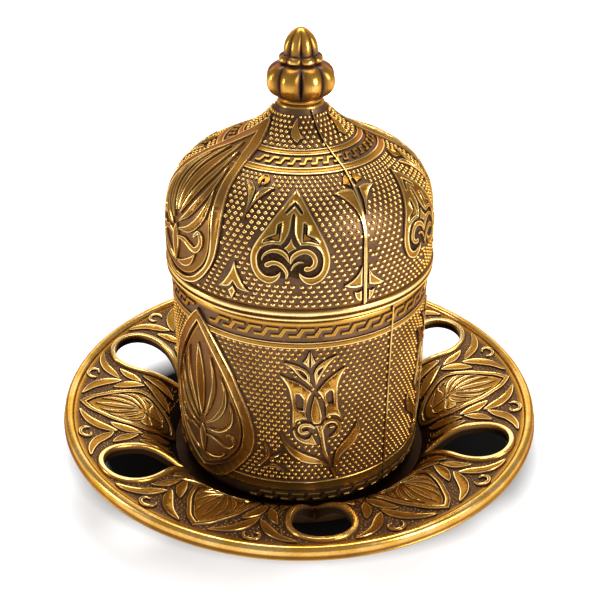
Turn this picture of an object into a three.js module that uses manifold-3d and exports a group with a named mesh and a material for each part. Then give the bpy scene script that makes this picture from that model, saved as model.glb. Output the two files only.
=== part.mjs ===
// A covered coffee cup on its saucer, cast in brass round a porcelain cup. The pierced saucer carries
// the holder, the holder carries the porcelain cup, and the domed lid rests on the porcelain rim.
// Millimetres, +Z up. The origin is the centre of the saucer's foot ring, on the table.

import * as THREE from "three";
import { mergeVertices } from "three/addons/utils/BufferGeometryUtils.js";
import Module from "manifold-3d";

// Saucer
const SAUCER_RADIUS = 62.5;
const SAUCER_WALL = 1.8;
const FOOT_HEIGHT = 1.5;
const FOOT_RADIUS = 30;
const FOOT_WIDTH = 2.6;
const WELL_FLOOR = 2;
const WELL_CLEARANCE = 2.4;
const SHOULDER_REACH = 12.6;
const SHOULDER_HEIGHT = 11.6;
const SHOULDER_PULLS = [0.175, 0.29, 0.515, 0.905];
const FLANGE_RISE = 3;
const RIM_BEAD_RADIUS = 1.25;
const RIM_BEAD_DROP = 0.2;
const RIM_BEAD_START = -20;
const RIM_LIP_DROP = 0.9;
const RIM_LIP_PROUD = 0.3;
const RIM_LIP_THICKNESS = 0.9;

// Openings through the saucer
const OPENING_COUNT = 6;
const OPENING_FROM_WELL = 2.9;
const OPENING_TO_EDGE = 5.2;
const OPENING_WIDTH = 14.1;
const OPENING_LIP_WIDTH = 1.5;
const OPENING_LIP_HEIGHT = 0.7;
const OPENING_LIP_SHAPE = [
  [1, 0],
  [0.75, 0.8],
  [0.4, 1],
  [-0.4, 0.9],
];
const OPENING_FIRST_ANGLE = THREE.MathUtils.degToRad(-84.5);

// Holder
const HOLDER_RADIUS = 31.6;
const HOLDER_WALL = 1.7;
const HOLDER_FLOOR = 1.8;
const HOLDER_HEIGHT = 54.4;
const HOLDER_CORNER_REACH = 3.6;
const HOLDER_CORNER_HEIGHT = 5.4;
const HOLDER_INNER_CORNER = 3;
const HOLDER_RING_PROUD = 0.4;
const LOWER_RING_HEIGHT = 5.9;
const LOWER_RING_WIDTH = 3.2;
const UPPER_RING_HEIGHT = 47.6;
const UPPER_RING_WIDTH = 1.7;

// Porcelain cup
const CUP_CLEARANCE = 0.4;
const CUP_WALL = 2.4;
const CUP_RIM_PROUD = 2.1;
const CUP_RIM_ARC = [30, 150];
const CUP_TAPER = 2.6;
const CUP_WALL_PULLS = [0.4, 0.25, 1, 0.6];
const CUP_CORNER = 8;
const CUP_FOOT_RADIUS = 17;
const CUP_FOOT_WIDTH = 2.4;
const CUP_FOOT_HEIGHT = 1.4;

// Lid
const LID_OVERHANG = 0.7;
const LID_WALL = 1.6;
const LID_GAP = 0.8;
const LID_SIDE_CLEARANCE = 0.9;
const LID_LEDGE_WIDTH = 2.6;
const LID_LEDGE_THICKNESS = 1.6;
const LID_BAND_HEIGHT = 3;
const LID_BAND_PROUD = 0.7;
const LID_BAND_GROOVE_HEIGHT = 1.2;
const LID_BAND_GROOVE_WIDTH = 0.8;
const LID_BAND_GROOVE_DEPTH = 0.4;
const LID_SIDE_HEIGHT = 9.8;
const LID_SIDE_TAPER = 0.2;
const LID_SHOULDER_HEIGHT = 20.3;
const LID_SHOULDER_REACH = 13.8;
const LID_SHOULDER_PULLS = [0.01, 0.59, 0.27, 0.79];
const LID_NECK_HEIGHT = 9.6;
const LID_NECK_PULLS = [0.43, 0.25, 0.8, 0.5];
const LID_HOLLOW_TOP_RADIUS = 7;
const CROWN_RING_PROUD = 0.4;
const CROWN_OUTER_RING = [19.7, 17.8];
const CROWN_INNER_RING = [14.5, 13];

// Finial
const COLLAR_RADIUS = 5.6;
const COLLAR_HEIGHT = 1.9;
const COLLAR_TOP_RADIUS = 4.8;
const MELON_RADIUS = 7.8;
const MELON_HEIGHT = 8.1;
const MELON_END_RADIUS = 4.1;
const BEAD_RING_RADIUS = 4.7;
const BEAD_RING_HEIGHT = 1.8;
const BEAD_RING_ROUNDING = 0.3;
const BEAD_RING_EDGE = 0.2;
const BUD_RADIUS = 3.8;
const BUD_HEIGHT = 5.4;
const BUD_POINTEDNESS = 1.6;
const LOBE_COUNT = 8;
const LOBE_DEPTH = 0.17;
const LOBE_ROUNDNESS = 0.8;
const BEAD_RING_DEPTH = 0.07;
const BUD_GROOVE_DEPTH = 0.2;

// Relief, cast with the holder and the lid
const RELIEF_HEIGHT = 0.55;
const RELIEF_ROOT = 0.5;
const FIRST_MEDALLION = THREE.MathUtils.degToRad(-138.5);
const LID_TURN = THREE.MathUtils.degToRad(-13);
const SEAM_ANGLE = THREE.MathUtils.degToRad(90);
const FLOWER_ANGLE = THREE.MathUtils.degToRad(53.5);
const SPADE_ANGLE = THREE.MathUtils.degToRad(59.2);
const SPRIG_ANGLE = THREE.MathUtils.degToRad(38.5);
const ARROW_ANGLE = THREE.MathUtils.degToRad(34.2);

// Facets
const SAUCER_SEGMENTS = 44;
const ROUND_SEGMENTS = 36;
const CUP_SEGMENTS = 28;
const LOBE_SEGMENTS = 4;
const CURVE_STEPS = 6;
const INSIDE_STEPS = 3;
const ARC_STEPS = 3;
const RIM_STEPS = 4;
const TEARDROP_STEPS = 18;
const MELON_STEPS = 6;
const BUD_STEPS = 4;
const RUN_STEPS = 1.5;

// Heights that the pieces share
const WELL_TOP = FOOT_HEIGHT + WELL_FLOOR;
const HOLDER_TOP = WELL_TOP + HOLDER_HEIGHT;
const HOLDER_INNER_RADIUS = HOLDER_RADIUS - HOLDER_WALL;
const HOLDER_FLOOR_TOP = WELL_TOP + HOLDER_FLOOR;
const CUP_RADIUS = HOLDER_INNER_RADIUS - CUP_CLEARANCE;
const CUP_TOP = HOLDER_TOP + CUP_RIM_PROUD;
const LID_RADIUS = HOLDER_RADIUS + LID_OVERHANG;
const LID_BOTTOM = HOLDER_TOP + LID_GAP;
const LID_SIDE_TOP = LID_BOTTOM + LID_SIDE_HEIGHT;
const LID_SHOULDER_TOP = LID_SIDE_TOP + LID_SHOULDER_HEIGHT;
const COLLAR_BOTTOM = LID_SHOULDER_TOP + LID_NECK_HEIGHT;

// Radii on the saucer that follow from the holder and the edge
const WELL_EDGE_RADIUS = HOLDER_RADIUS + WELL_CLEARANCE;
const OPENING_TIP_RADIUS = WELL_EDGE_RADIUS + OPENING_FROM_WELL;
const OPENING_END_RADIUS = SAUCER_RADIUS - OPENING_TO_EDGE;

// Outlines of the relief. Each point lies so many degrees round the axis from the motif's middle line,
// and so many hundredths of the way up the wall. The medallions and the spade are smooth runs that meet
// at corners, and give their right side only, from the top down. The rest have straight sides.
const HOLDER_DROP = {
  outer: [[[0, 96], [9.1, 85.3], [20, 67], [28.6, 39], [17.5, 16.5], [0, 8.3]]],
  inner: [[[0, 90], [9.1, 76.6], [17.5, 61], [22.9, 39], [14.5, 20.5], [0, 12.1]]],
};
const LID_DROP = {
  outer: [[[0, 93], [16.7, 82], [21.5, 65], [27, 33], [18, 7], [0, 1.5]]],
  inner: [[[0, 84.5], [14.9, 65], [19.8, 47], [22.6, 25], [12, 8.5], [0, 5]]],
};
const SPADE = [
  [[0, 57.2], [8.5, 43.5], [15.4, 28], [12, 16.6], [3.5, 21.2]],
  [[3.5, 21.2], [11.6, 21.4], [3.7, 32.5]],
  [[3.7, 32.5], [0, 45.8]],
];
const SPRIG = [
  [[-8.6, 59], [-4, 58], [-0.8, 54.9], [4, 56], [9, 57], [3, 50.5], [-1.7, 40.9], [-2.9, 50.8]],
];
const ARROW = [
  [[0.6, 23], [-2.9, 15], [-6.8, 9.5], [-1.5, 11], [0, 13.4], [3, 10.4], [7.4, 9.9], [3.3, 14]],
];
const SEAM_FLOWER = [
  [[-13.7, 53.7], [-7.1, 55.3], [-2.7, 53.7], [-2.5, 38.7], [-3.1, 3], [-4.7, 3], [-4.5, 33], [-6.7, 47.7]],
  [[10.5, 54.7], [4.9, 56], [0.8, 55.3], [-1.1, 42.6], [3.2, 49.8]],
];
const TULIP_PETALS = [
  [[-13.6, 74.4], [-6.9, 71.3], [-0.2, 65.8], [-2.7, 56], [-2.2, 51.6], [-7.8, 47.8], [-8.8, 61]],
  [[14, 77], [8, 73.3], [2, 66.2], [5.6, 56.4], [5.8, 52.2], [10.9, 52], [13.8, 48], [11, 63]],
];
const TULIP_HEART = [
  [[-12, 80.9], [-3.3, 77.6], [0.4, 68], [-6.2, 74.5]],
  [[10, 83.4], [3.3, 80.3], [1.5, 69.3], [4.9, 77]],
  [[0.9, 64.1], [3.3, 57.9], [3.6, 49.3], [0.5, 49.3], [-0.5, 57]],
];
const TULIP_LEAVES = [
  [
    ...[[-13.4, 44.3], [-9.4, 37.3], [-1.8, 32.2], [5, 27]],
    ...[[3.5, 37], [1.3, 48.2], [4.4, 48.2], [7, 33], [9.4, 25]],
    ...[[13.4, 36.4], [20.3, 47.6], [21.6, 40.4], [14.5, 31.2], [12.7, 17.1]],
    ...[[10.3, 17.1], [8, 23.7], [-1.3, 27.6], [-8.9, 32.2]],
  ],
];

// How far a Bezier's handles reach towards the corner in a quarter ellipse
const QUARTER_PULL = 0.55;

const wasm = await Module();
wasm.setup();

// A closed three.js geometry as a manifold solid.
function solidOf(geometry) {
  const bare = geometry.clone();
  bare.deleteAttribute("normal");
  bare.deleteAttribute("uv");
  const merged = mergeVertices(bare, 1e-4);
  const index = merged.index.array;
  const triangles = [];
  for (let i = 0; i < index.length; i += 3) {
    const [a, b, c] = [index[i], index[i + 1], index[i + 2]];
    if (a !== b && b !== c && c !== a) triangles.push(a, b, c);
  }
  return new wasm.Manifold(
    new wasm.Mesh({
      numProp: 3,
      vertProperties: merged.attributes.position.array,
      triVerts: new Uint32Array(triangles),
    }),
  );
}

// A manifold solid as a flat-shaded three.js geometry.
function geometryOf(solid) {
  const mesh = solid.getMesh();
  const geometry = new THREE.BufferGeometry();
  geometry.setAttribute(
    "position",
    new THREE.BufferAttribute(new Float32Array(mesh.vertProperties), 3),
  );
  geometry.setIndex(new THREE.BufferAttribute(new Uint32Array(mesh.triVerts), 1));
  const flat = geometry.toNonIndexed();
  flat.computeVertexNormals();
  return flat;
}

// A closed section, or one that starts and ends on the axis, turned about +Z. It runs anticlockwise,
// seen with the radius to the right and +Z up.
function revolve(section, segments = ROUND_SEGMENTS) {
  const lathe = new THREE.LatheGeometry(section, segments);
  return lathe.rotateX(Math.PI / 2);
}

function point(radius, height) {
  return new THREE.Vector2(radius, height);
}

// The points of a quarter or other arc about a centre, from one angle to another, in degrees.
function arc(centre, radius, from, to, steps = ARC_STEPS) {
  return Array.from({ length: steps + 1 }, (_, i) => {
    const angle = THREE.MathUtils.degToRad(from + ((to - from) * i) / steps);
    return point(
      centre.x + radius * Math.cos(angle),
      centre.y + radius * Math.sin(angle),
    );
  });
}

// A Bezier curve between two points. The pulls place its two handles, each by a share of the
// curve's width and a share of its height.
function bend(start, end, pulls, steps = CURVE_STEPS) {
  const handle = (across, up) =>
    point(
      THREE.MathUtils.lerp(start.x, end.x, across),
      THREE.MathUtils.lerp(start.y, end.y, up),
    );
  const [startHandle, endHandle] = [handle(pulls[0], pulls[1]), handle(pulls[2], pulls[3])];
  return new THREE.CubicBezierCurve(start, startHandle, endHandle, end).getPoints(steps);
}

// A quarter of an ellipse that leaves the start along the line to the corner.
function quarter(start, corner, end, steps = ARC_STEPS) {
  const startHandle = start.clone().lerp(corner, QUARTER_PULL);
  const endHandle = end.clone().lerp(corner, QUARTER_PULL);
  return new THREE.CubicBezierCurve(start, startHandle, endHandle, end).getPoints(steps);
}

// The same line moved sideways: to its right when the distance is positive, as it is walked.
function offset(points, distance) {
  return points.map((here, i) => {
    const before = points[Math.max(i - 1, 0)];
    const after = points[Math.min(i + 1, points.length - 1)];
    const along = after.clone().sub(before).normalize();
    return point(here.x + along.y * distance, here.y - along.x * distance);
  });
}

// The height of a line of points at a radius. Past its ends it goes on level.
function heightAt(points, radius) {
  const outwards = points[0].x < points.at(-1).x ? points : [...points].reverse();
  const next = outwards.findIndex((p) => p.x > radius);
  if (next < 1) return outwards.at(next).y;
  const [a, b] = [outwards[next - 1], outwards[next]];
  return THREE.MathUtils.mapLinear(radius, a.x, b.x, a.y, b.y);
}

// The same line with a low flat-topped ridge between two radii. The line runs inwards.
function ridged(line, [outer, inner], proud) {
  const foot = point(outer, heightAt(line, outer));
  const end = point(inner, heightAt(line, inner));
  const along = end.clone().sub(foot).normalize().multiplyScalar(proud);
  const lift = point(along.y, -along.x);
  return [
    ...line.filter((p) => p.x > outer),
    foot,
    foot.clone().add(along).add(lift),
    end.clone().sub(along).add(lift),
    end,
    ...line.filter((p) => p.x < inner),
  ];
}

// The saucer's upper side, from the edge of the well over the shoulder to the rim bead.
function saucerTop() {
  const foot = point(WELL_EDGE_RADIUS, WELL_TOP);
  const crest = point(foot.x + SHOULDER_REACH, WELL_TOP + SHOULDER_HEIGHT);
  const bead = SAUCER_RADIUS - RIM_LIP_PROUD - 2 * RIM_BEAD_RADIUS;
  const rim = point(bead, crest.y + FLANGE_RISE);
  return [...bend(foot, crest, SHOULDER_PULLS), rim];
}

// One turned dish: well, shoulder, flange, rolled rim and foot ring.
function saucerSection(top) {
  const rim = top.at(-1);
  const bead = point(rim.x + RIM_BEAD_RADIUS, rim.y - RIM_BEAD_DROP);
  const lipTop = bead.y - RIM_LIP_DROP;
  const lipBottom = lipTop - RIM_LIP_THICKNESS;
  const under = offset(top, SAUCER_WALL).filter(
    (p) => p.y > FOOT_HEIGHT && p.x < rim.x,
  );
  const footInner = FOOT_RADIUS - FOOT_WIDTH;
  return [
    point(0, FOOT_HEIGHT),
    point(footInner, FOOT_HEIGHT),
    point(footInner, 0),
    point(FOOT_RADIUS, 0),
    point(FOOT_RADIUS, FOOT_HEIGHT),
    ...under,
    point(SAUCER_RADIUS - RIM_LIP_THICKNESS, lipBottom),
    point(SAUCER_RADIUS, (lipTop + lipBottom) / 2),
    point(SAUCER_RADIUS - RIM_LIP_PROUD, lipTop),
    ...arc(bead, RIM_BEAD_RADIUS, RIM_BEAD_START, 180, RIM_STEPS),
    ...top.slice(0, -1).reverse(),
    point(0, WELL_TOP),
  ];
}

// A teardrop in plan, with its tip towards the saucer's centre, as points with outward normals.
function teardrop() {
  const middle = (OPENING_END_RADIUS + OPENING_TIP_RADIUS) / 2;
  const halfLength = (OPENING_END_RADIUS - OPENING_TIP_RADIUS) / 2;
  const widest = 4 / (3 * Math.sqrt(3));
  const halfWidth = OPENING_WIDTH / 2 / widest;
  const outline = Array.from({ length: TEARDROP_STEPS }, (_, i) => {
    const turn = (2 * Math.PI * i) / TEARDROP_STEPS - Math.PI;
    return point(
      middle + halfLength * Math.cos(turn),
      halfWidth * Math.sin(turn) * Math.cos(turn / 2),
    );
  });
  return outline.map((here, i) => {
    const before = outline.at(i - 1);
    const after = outline[(i + 1) % outline.length];
    const along = after.clone().sub(before).normalize();
    return { here, outward: point(along.y, -along.x) };
  });
}

// The rolled lip of an opening: a section carried round the teardrop, laid on the saucer's upper side
// with its root in the wall.
function openingLip(outline, top) {
  const rolled = OPENING_LIP_SHAPE.map(([out, up]) =>
    point(OPENING_LIP_WIDTH * out, OPENING_LIP_HEIGHT * up),
  );
  const root = -SAUCER_WALL / 2;
  const section = [point(rolled.at(-1).x, root), point(rolled[0].x, root), ...rolled];
  const corners = outline.flatMap(({ here, outward }) =>
    section.map((s) => {
      const plan = here.clone().addScaledVector(outward, s.x);
      return [plan.x, plan.y, heightAt(top, plan.length()) + s.y];
    }),
  );
  const count = section.length;
  const index = [];
  outline.forEach((_, i) => {
    const ring = i * count;
    const nextRing = ((i + 1) % outline.length) * count;
    section.forEach((__, k) => {
      const side = (k + 1) % count;
      index.push(ring + k, nextRing + k, nextRing + side);
      index.push(ring + k, nextRing + side, ring + side);
    });
  });
  const lip = new THREE.BufferGeometry();
  lip.setAttribute("position", new THREE.Float32BufferAttribute(corners.flat(), 3));
  lip.setIndex(index);
  return lip;
}

function saucer() {
  const top = saucerTop();
  const outline = teardrop();
  const hole = new THREE.ExtrudeGeometry(
    new THREE.Shape(outline.map(({ here }) => here)),
    { depth: 2 * (WELL_TOP + SHOULDER_HEIGHT + FLANGE_RISE), bevelEnabled: false },
  );
  const lip = openingLip(outline, top);
  const lips = [];
  const holes = [];
  for (let i = 0; i < OPENING_COUNT; i += 1) {
    const angle = OPENING_FIRST_ANGLE + (2 * Math.PI * i) / OPENING_COUNT;
    lips.push(solidOf(lip.clone().rotateZ(angle)));
    holes.push(solidOf(hole.clone().rotateZ(angle)));
  }
  const dish = solidOf(revolve(saucerSection(top), SAUCER_SEGMENTS));
  return geometryOf(
    dish.add(wasm.Manifold.union(lips)).subtract(wasm.Manifold.union(holes)),
  );
}

// A smooth run through a few points of a relief outline.
function smoothRun(points) {
  const spots = points.map(([across, up]) => point(across, up));
  if (spots.length === 2) return spots;
  const steps = Math.round(RUN_STEPS * (spots.length - 1));
  return new THREE.SplineCurve(spots).getPoints(steps);
}

// A closed outline that is the same on both sides. The runs of its right side each start where the one
// before ends.
function mirroredOutline(runs) {
  const right = runs.flatMap((points) => smoothRun(points).slice(0, -1));
  right.push(point(...runs.at(-1).at(-1)));
  const left = right.slice(1, -1).map((p) => point(-p.x, p.y));
  return [...right, ...left.reverse()];
}

// A closed outline with straight sides.
function plainOutline(points) {
  return points.map(([across, up]) => point(across, up));
}

// A thin turned coat over a wall's outline, which runs upwards: from inside the wall to the relief's face.
function coat(wall) {
  const section = [...offset(wall, RELIEF_HEIGHT), ...offset(wall, -RELIEF_ROOT).reverse()];
  return solidOf(revolve([...section, section[0]]));
}

// Raised shapes on a turned wall. Each outline is seen from the side, pushed out from the axis, and
// keeps what it shares with the coat over the wall. The guide is the line that heights are counted on,
// in hundredths of its length.
function relief(wall, guide, motifs) {
  const path = new THREE.Path(guide);
  const skin = coat(wall);
  const seen = (outline, hand) =>
    outline.map((p) => {
      const place = path.getPoint(THREE.MathUtils.clamp(p.y / 100, 0, 1));
      return point(hand * place.x * Math.sin(THREE.MathUtils.degToRad(p.x)), place.y);
    });
  const pads = motifs.map(({ outline, hole, angle, hand = 1 }) => {
    const shape = new THREE.Shape(seen(outline, hand));
    if (hole) shape.holes.push(new THREE.Path(seen(hole, hand).reverse()));
    const depth = guide[0].x + 2 * RELIEF_HEIGHT;
    const pushed = new THREE.ExtrudeGeometry(shape, { depth, bevelEnabled: false });
    pushed.rotateX(Math.PI / 2).rotateZ(angle + Math.PI / 2);
    return skin.intersect(solidOf(pushed));
  });
  return wasm.Manifold.union(pads);
}

// The two places of a shape that stands alone in each half of the mould.
function twice(outline, hole, first) {
  return [first, first + Math.PI].map((angle) => ({ outline, hole, angle }));
}

// The four places of a motif: at an angle from each medallion, on both its sides.
function fourTimes(outlines, medallion, fromMedallion) {
  return [1, -1].flatMap((hand) =>
    outlines.flatMap((outline) =>
      twice(outline, null, medallion + hand * fromMedallion).map((place) => ({ ...place, hand })),
    ),
  );
}

// A plain raised ring round the holder, as four points of its section, from its foot upwards.
function holderRing(height, width) {
  const foot = WELL_TOP + height;
  return [
    point(HOLDER_RADIUS, foot),
    point(HOLDER_RADIUS + HOLDER_RING_PROUD, foot + HOLDER_RING_PROUD),
    point(HOLDER_RADIUS + HOLDER_RING_PROUD, foot + width - HOLDER_RING_PROUD),
    point(HOLDER_RADIUS, foot + width),
  ];
}

// The holder's medallions and tulips.
function holderRelief(wall) {
  const guide = [point(HOLDER_RADIUS, WELL_TOP), point(HOLDER_RADIUS, HOLDER_TOP)];
  const tulip = [...TULIP_PETALS, ...TULIP_HEART, ...TULIP_LEAVES];
  const drop = mirroredOutline(HOLDER_DROP.outer);
  const field = mirroredOutline(HOLDER_DROP.inner);
  return relief(wall, guide, [
    ...twice(drop, field, FIRST_MEDALLION),
    ...fourTimes(tulip.map(plainOutline), FIRST_MEDALLION, FLOWER_ANGLE),
  ]);
}

function cupHolder() {
  const edge = HOLDER_WALL / 4;
  const corner = quarter(
    point(HOLDER_RADIUS - HOLDER_CORNER_REACH, WELL_TOP),
    point(HOLDER_RADIUS, WELL_TOP),
    point(HOLDER_RADIUS, WELL_TOP + HOLDER_CORNER_HEIGHT),
  );
  const section = [
    point(0, WELL_TOP),
    ...corner,
    ...holderRing(LOWER_RING_HEIGHT, LOWER_RING_WIDTH),
    ...holderRing(UPPER_RING_HEIGHT, UPPER_RING_WIDTH),
    point(HOLDER_RADIUS, HOLDER_TOP - edge),
    point(HOLDER_RADIUS - edge, HOLDER_TOP),
    point(HOLDER_INNER_RADIUS + edge, HOLDER_TOP),
    point(HOLDER_INNER_RADIUS, HOLDER_TOP - edge),
    ...quarter(
      point(HOLDER_INNER_RADIUS, HOLDER_FLOOR_TOP + HOLDER_INNER_CORNER),
      point(HOLDER_INNER_RADIUS, HOLDER_FLOOR_TOP),
      point(HOLDER_INNER_RADIUS - HOLDER_INNER_CORNER, HOLDER_FLOOR_TOP),
    ),
    point(0, HOLDER_FLOOR_TOP),
  ];
  const wall = [...corner, point(HOLDER_RADIUS, HOLDER_TOP - edge)];
  return geometryOf(solidOf(revolve(section)).add(holderRelief(wall)));
}

// One side of the porcelain cup's wall, moved inwards by an inset, from its rounded corner at the
// bottom to just under the rim. The wall narrows towards the bottom.
function porcelainWall(inset, floor) {
  const radius = CUP_RADIUS - inset;
  const low = radius - CUP_TAPER;
  const corner = CUP_CORNER - inset / 2;
  const cornerTop = point(low, floor + corner);
  const rim = point(radius, CUP_TOP - CUP_WALL / 2);
  return [
    ...quarter(point(low - corner, floor), point(low, floor), cornerTop),
    ...bend(cornerTop, rim, CUP_WALL_PULLS, ARC_STEPS).slice(1),
  ];
}

// The porcelain cup, on a foot ring of its own that stands on the holder's floor.
function porcelainCup() {
  const base = HOLDER_FLOOR_TOP;
  const underside = base + CUP_FOOT_HEIGHT;
  const floor = underside + CUP_WALL;
  const footInner = CUP_FOOT_RADIUS - CUP_FOOT_WIDTH;
  const lip = CUP_WALL / 2;
  const section = [
    point(0, underside),
    point(footInner, underside),
    point(footInner, base),
    point(CUP_FOOT_RADIUS, base),
    point(CUP_FOOT_RADIUS, underside),
    ...porcelainWall(0, underside),
    ...arc(point(CUP_RADIUS - lip, CUP_TOP - lip), lip, ...CUP_RIM_ARC),
    ...porcelainWall(CUP_WALL, floor).reverse(),
    point(0, floor),
  ];
  return geometryOf(solidOf(revolve(section, CUP_SEGMENTS)));
}

// The outside of the dome above its plain side: a rounded shoulder and a hollow-sided neck.
function domeSlope(steps = CURVE_STEPS) {
  const sideTop = point(LID_RADIUS - LID_SIDE_TAPER, LID_SIDE_TOP);
  const crown = point(sideTop.x - LID_SHOULDER_REACH, LID_SHOULDER_TOP);
  const neck = point(COLLAR_RADIUS, COLLAR_BOTTOM);
  return [
    ...bend(sideTop, crown, LID_SHOULDER_PULLS, steps),
    ...bend(crown, neck, LID_NECK_PULLS, steps).slice(1),
  ];
}

// The raised band round the lid's mouth: a narrow bead, a groove and a broad bead, from the bottom up.
function lidBand() {
  const band = LID_RADIUS + LID_BAND_PROUD;
  const groove = LID_BOTTOM + LID_BAND_GROOVE_HEIGHT;
  const edge = LID_BAND_GROOVE_WIDTH / 2;
  return [
    point(band - edge, LID_BOTTOM),
    point(band, LID_BOTTOM + edge),
    point(band, groove - edge),
    point(band - LID_BAND_GROOVE_DEPTH, groove),
    point(band, groove + edge),
    point(band, LID_BOTTOM + LID_BAND_HEIGHT - edge),
    point(LID_RADIUS, LID_BOTTOM + LID_BAND_HEIGHT),
  ];
}

function lidSection() {
  const slope = domeSlope();
  const crown = ridged(
    ridged(slope, CROWN_OUTER_RING, CROWN_RING_PROUD),
    CROWN_INNER_RING,
    CROWN_RING_PROUD,
  );
  const skirtInner = CUP_RADIUS + LID_SIDE_CLEARANCE;
  const ledgeInner = CUP_RADIUS - LID_LEDGE_WIDTH;
  const wallInner = LID_RADIUS - LID_WALL;
  const ledgeTop = CUP_TOP + LID_LEDGE_THICKNESS;
  const inside = offset(domeSlope(INSIDE_STEPS), -LID_WALL).filter(
    (p) => p.x > LID_HOLLOW_TOP_RADIUS,
  );
  return [
    point(skirtInner, LID_BOTTOM),
    ...lidBand(),
    ...crown,
    point(0, COLLAR_BOTTOM),
    point(0, inside.at(-1).y),
    ...inside.reverse(),
    point(wallInner, ledgeTop + wallInner - ledgeInner - LID_LEDGE_THICKNESS),
    point(ledgeInner, ledgeTop),
    point(ledgeInner, CUP_TOP),
    point(skirtInner, CUP_TOP),
    point(skirtInner, LID_BOTTOM),
  ];
}

// The melon's outline, from its foot up, each point with the depth of its grooves.
function melonStops(foot) {
  const bulge = MELON_RADIUS - MELON_END_RADIUS;
  return Array.from({ length: MELON_STEPS + 1 }, (_, i) => {
    const turn = (Math.PI * i) / MELON_STEPS;
    const swell = Math.sin(turn) ** LOBE_ROUNDNESS;
    return {
      radius: MELON_END_RADIUS + bulge * swell,
      height: foot + (MELON_HEIGHT * (1 - Math.cos(turn))) / 2,
      depth: LOBE_DEPTH * Math.sin(turn),
    };
  });
}

// The bud's outline, from its foot to its tip.
function budStops(foot) {
  return Array.from({ length: BUD_STEPS + 1 }, (_, i) => {
    const share = i / BUD_STEPS;
    return {
      radius: BUD_RADIUS * Math.sqrt(1 - share ** BUD_POINTEDNESS),
      height: foot + BUD_HEIGHT * share,
      depth: BUD_GROOVE_DEPTH * (1 - share),
    };
  });
}

// The finial's outline from inside the neck to its tip.
function finialStops() {
  const melonFoot = COLLAR_BOTTOM + COLLAR_HEIGHT;
  const ringFoot = melonFoot + MELON_HEIGHT;
  const budFoot = ringFoot + BEAD_RING_HEIGHT;
  const sunk = COLLAR_BOTTOM - LID_WALL;
  const ringStop = (share, inset) => ({
    radius: BEAD_RING_RADIUS - inset,
    height: ringFoot + BEAD_RING_HEIGHT * share,
    depth: BEAD_RING_DEPTH,
  });
  return [
    { radius: 0, height: sunk, depth: 0 },
    { radius: COLLAR_RADIUS, height: sunk, depth: 0 },
    { radius: COLLAR_RADIUS, height: COLLAR_BOTTOM, depth: 0 },
    { radius: COLLAR_TOP_RADIUS, height: melonFoot, depth: 0 },
    ...melonStops(melonFoot),
    ringStop(BEAD_RING_EDGE, BEAD_RING_ROUNDING),
    ringStop(1 / 2, 0),
    ringStop(1 - BEAD_RING_EDGE, BEAD_RING_ROUNDING),
    ...budStops(budFoot),
  ];
}

// The turned outline, with its radius dipping at each groove. One groove faces -Y.
function finial() {
  const stops = finialStops();
  const outline = stops.map(({ radius, height }) => point(radius, height));
  const turned = revolve(outline, LOBE_COUNT * LOBE_SEGMENTS);
  const corners = turned.getAttribute("position");
  for (let i = 0; i < corners.count; i += 1) {
    const { depth } = stops[i % stops.length];
    const angle = Math.atan2(corners.getY(i), corners.getX(i)) + Math.PI / LOBE_COUNT;
    const swell = Math.abs(Math.cos((LOBE_COUNT / 2) * angle)) ** LOBE_ROUNDNESS;
    const dip = 1 - depth * (1 - swell);
    corners.setXY(i, corners.getX(i) * dip, corners.getY(i) * dip);
  }
  return turned;
}

// The lid's medallions, spades, sprigs, arrows and the flowers on the mould's seams. The medallions run
// down into the band.
function lidRelief() {
  const wall = [point(LID_RADIUS, LID_BOTTOM + LID_BAND_HEIGHT / 2), ...domeSlope()];
  const medallion = FIRST_MEDALLION + LID_TURN;
  const drop = mirroredOutline(LID_DROP.outer);
  const field = mirroredOutline(LID_DROP.inner);
  return relief(wall, wall, [
    ...twice(drop, field, medallion),
    ...fourTimes([mirroredOutline(SPADE)], medallion, SPADE_ANGLE),
    ...fourTimes(SPRIG.map(plainOutline), medallion, SPRIG_ANGLE),
    ...fourTimes(ARROW.map(plainOutline), medallion, ARROW_ANGLE),
    ...SEAM_FLOWER.flatMap((points) => twice(plainOutline(points), null, medallion + SEAM_ANGLE)),
  ]);
}

function lid() {
  const dome = solidOf(revolve(lidSection()));
  return geometryOf(dome.add(solidOf(finial())).add(lidRelief()));
}

const agedBrass = new THREE.MeshStandardMaterial({
  color: 0x9a6a22,
  metalness: 1,
  roughness: 0.38,
});
const whitePorcelain = new THREE.MeshStandardMaterial({
  color: 0xf3efe6,
  metalness: 0,
  roughness: 0.15,
});

function piece(name, geometry, material) {
  const mesh = new THREE.Mesh(geometry, material);
  mesh.name = name;
  return mesh;
}

const coffeeSet = new THREE.Group();
coffeeSet.add(
  piece("saucer", saucer(), agedBrass),
  piece("cup_holder", cupHolder(), agedBrass),
  piece("porcelain_cup", porcelainCup(), whitePorcelain),
  piece("lid", lid(), agedBrass),
);

export default coffeeSet;
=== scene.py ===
"""Looks for a covered coffee cup on its pierced saucer: cast relief, worn brass, glaze and a plain studio.

Ornament is drawn flat, in millimetres, and wrapped onto the turned pieces. The meshes are in metres.
"""

import logging
import math
import random
from collections.abc import Iterable, Sequence
from dataclasses import dataclass, field
from enum import Enum

import bmesh
import bpy
from mathutils import Matrix, Vector
from mathutils.geometry import interpolate_bezier


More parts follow.
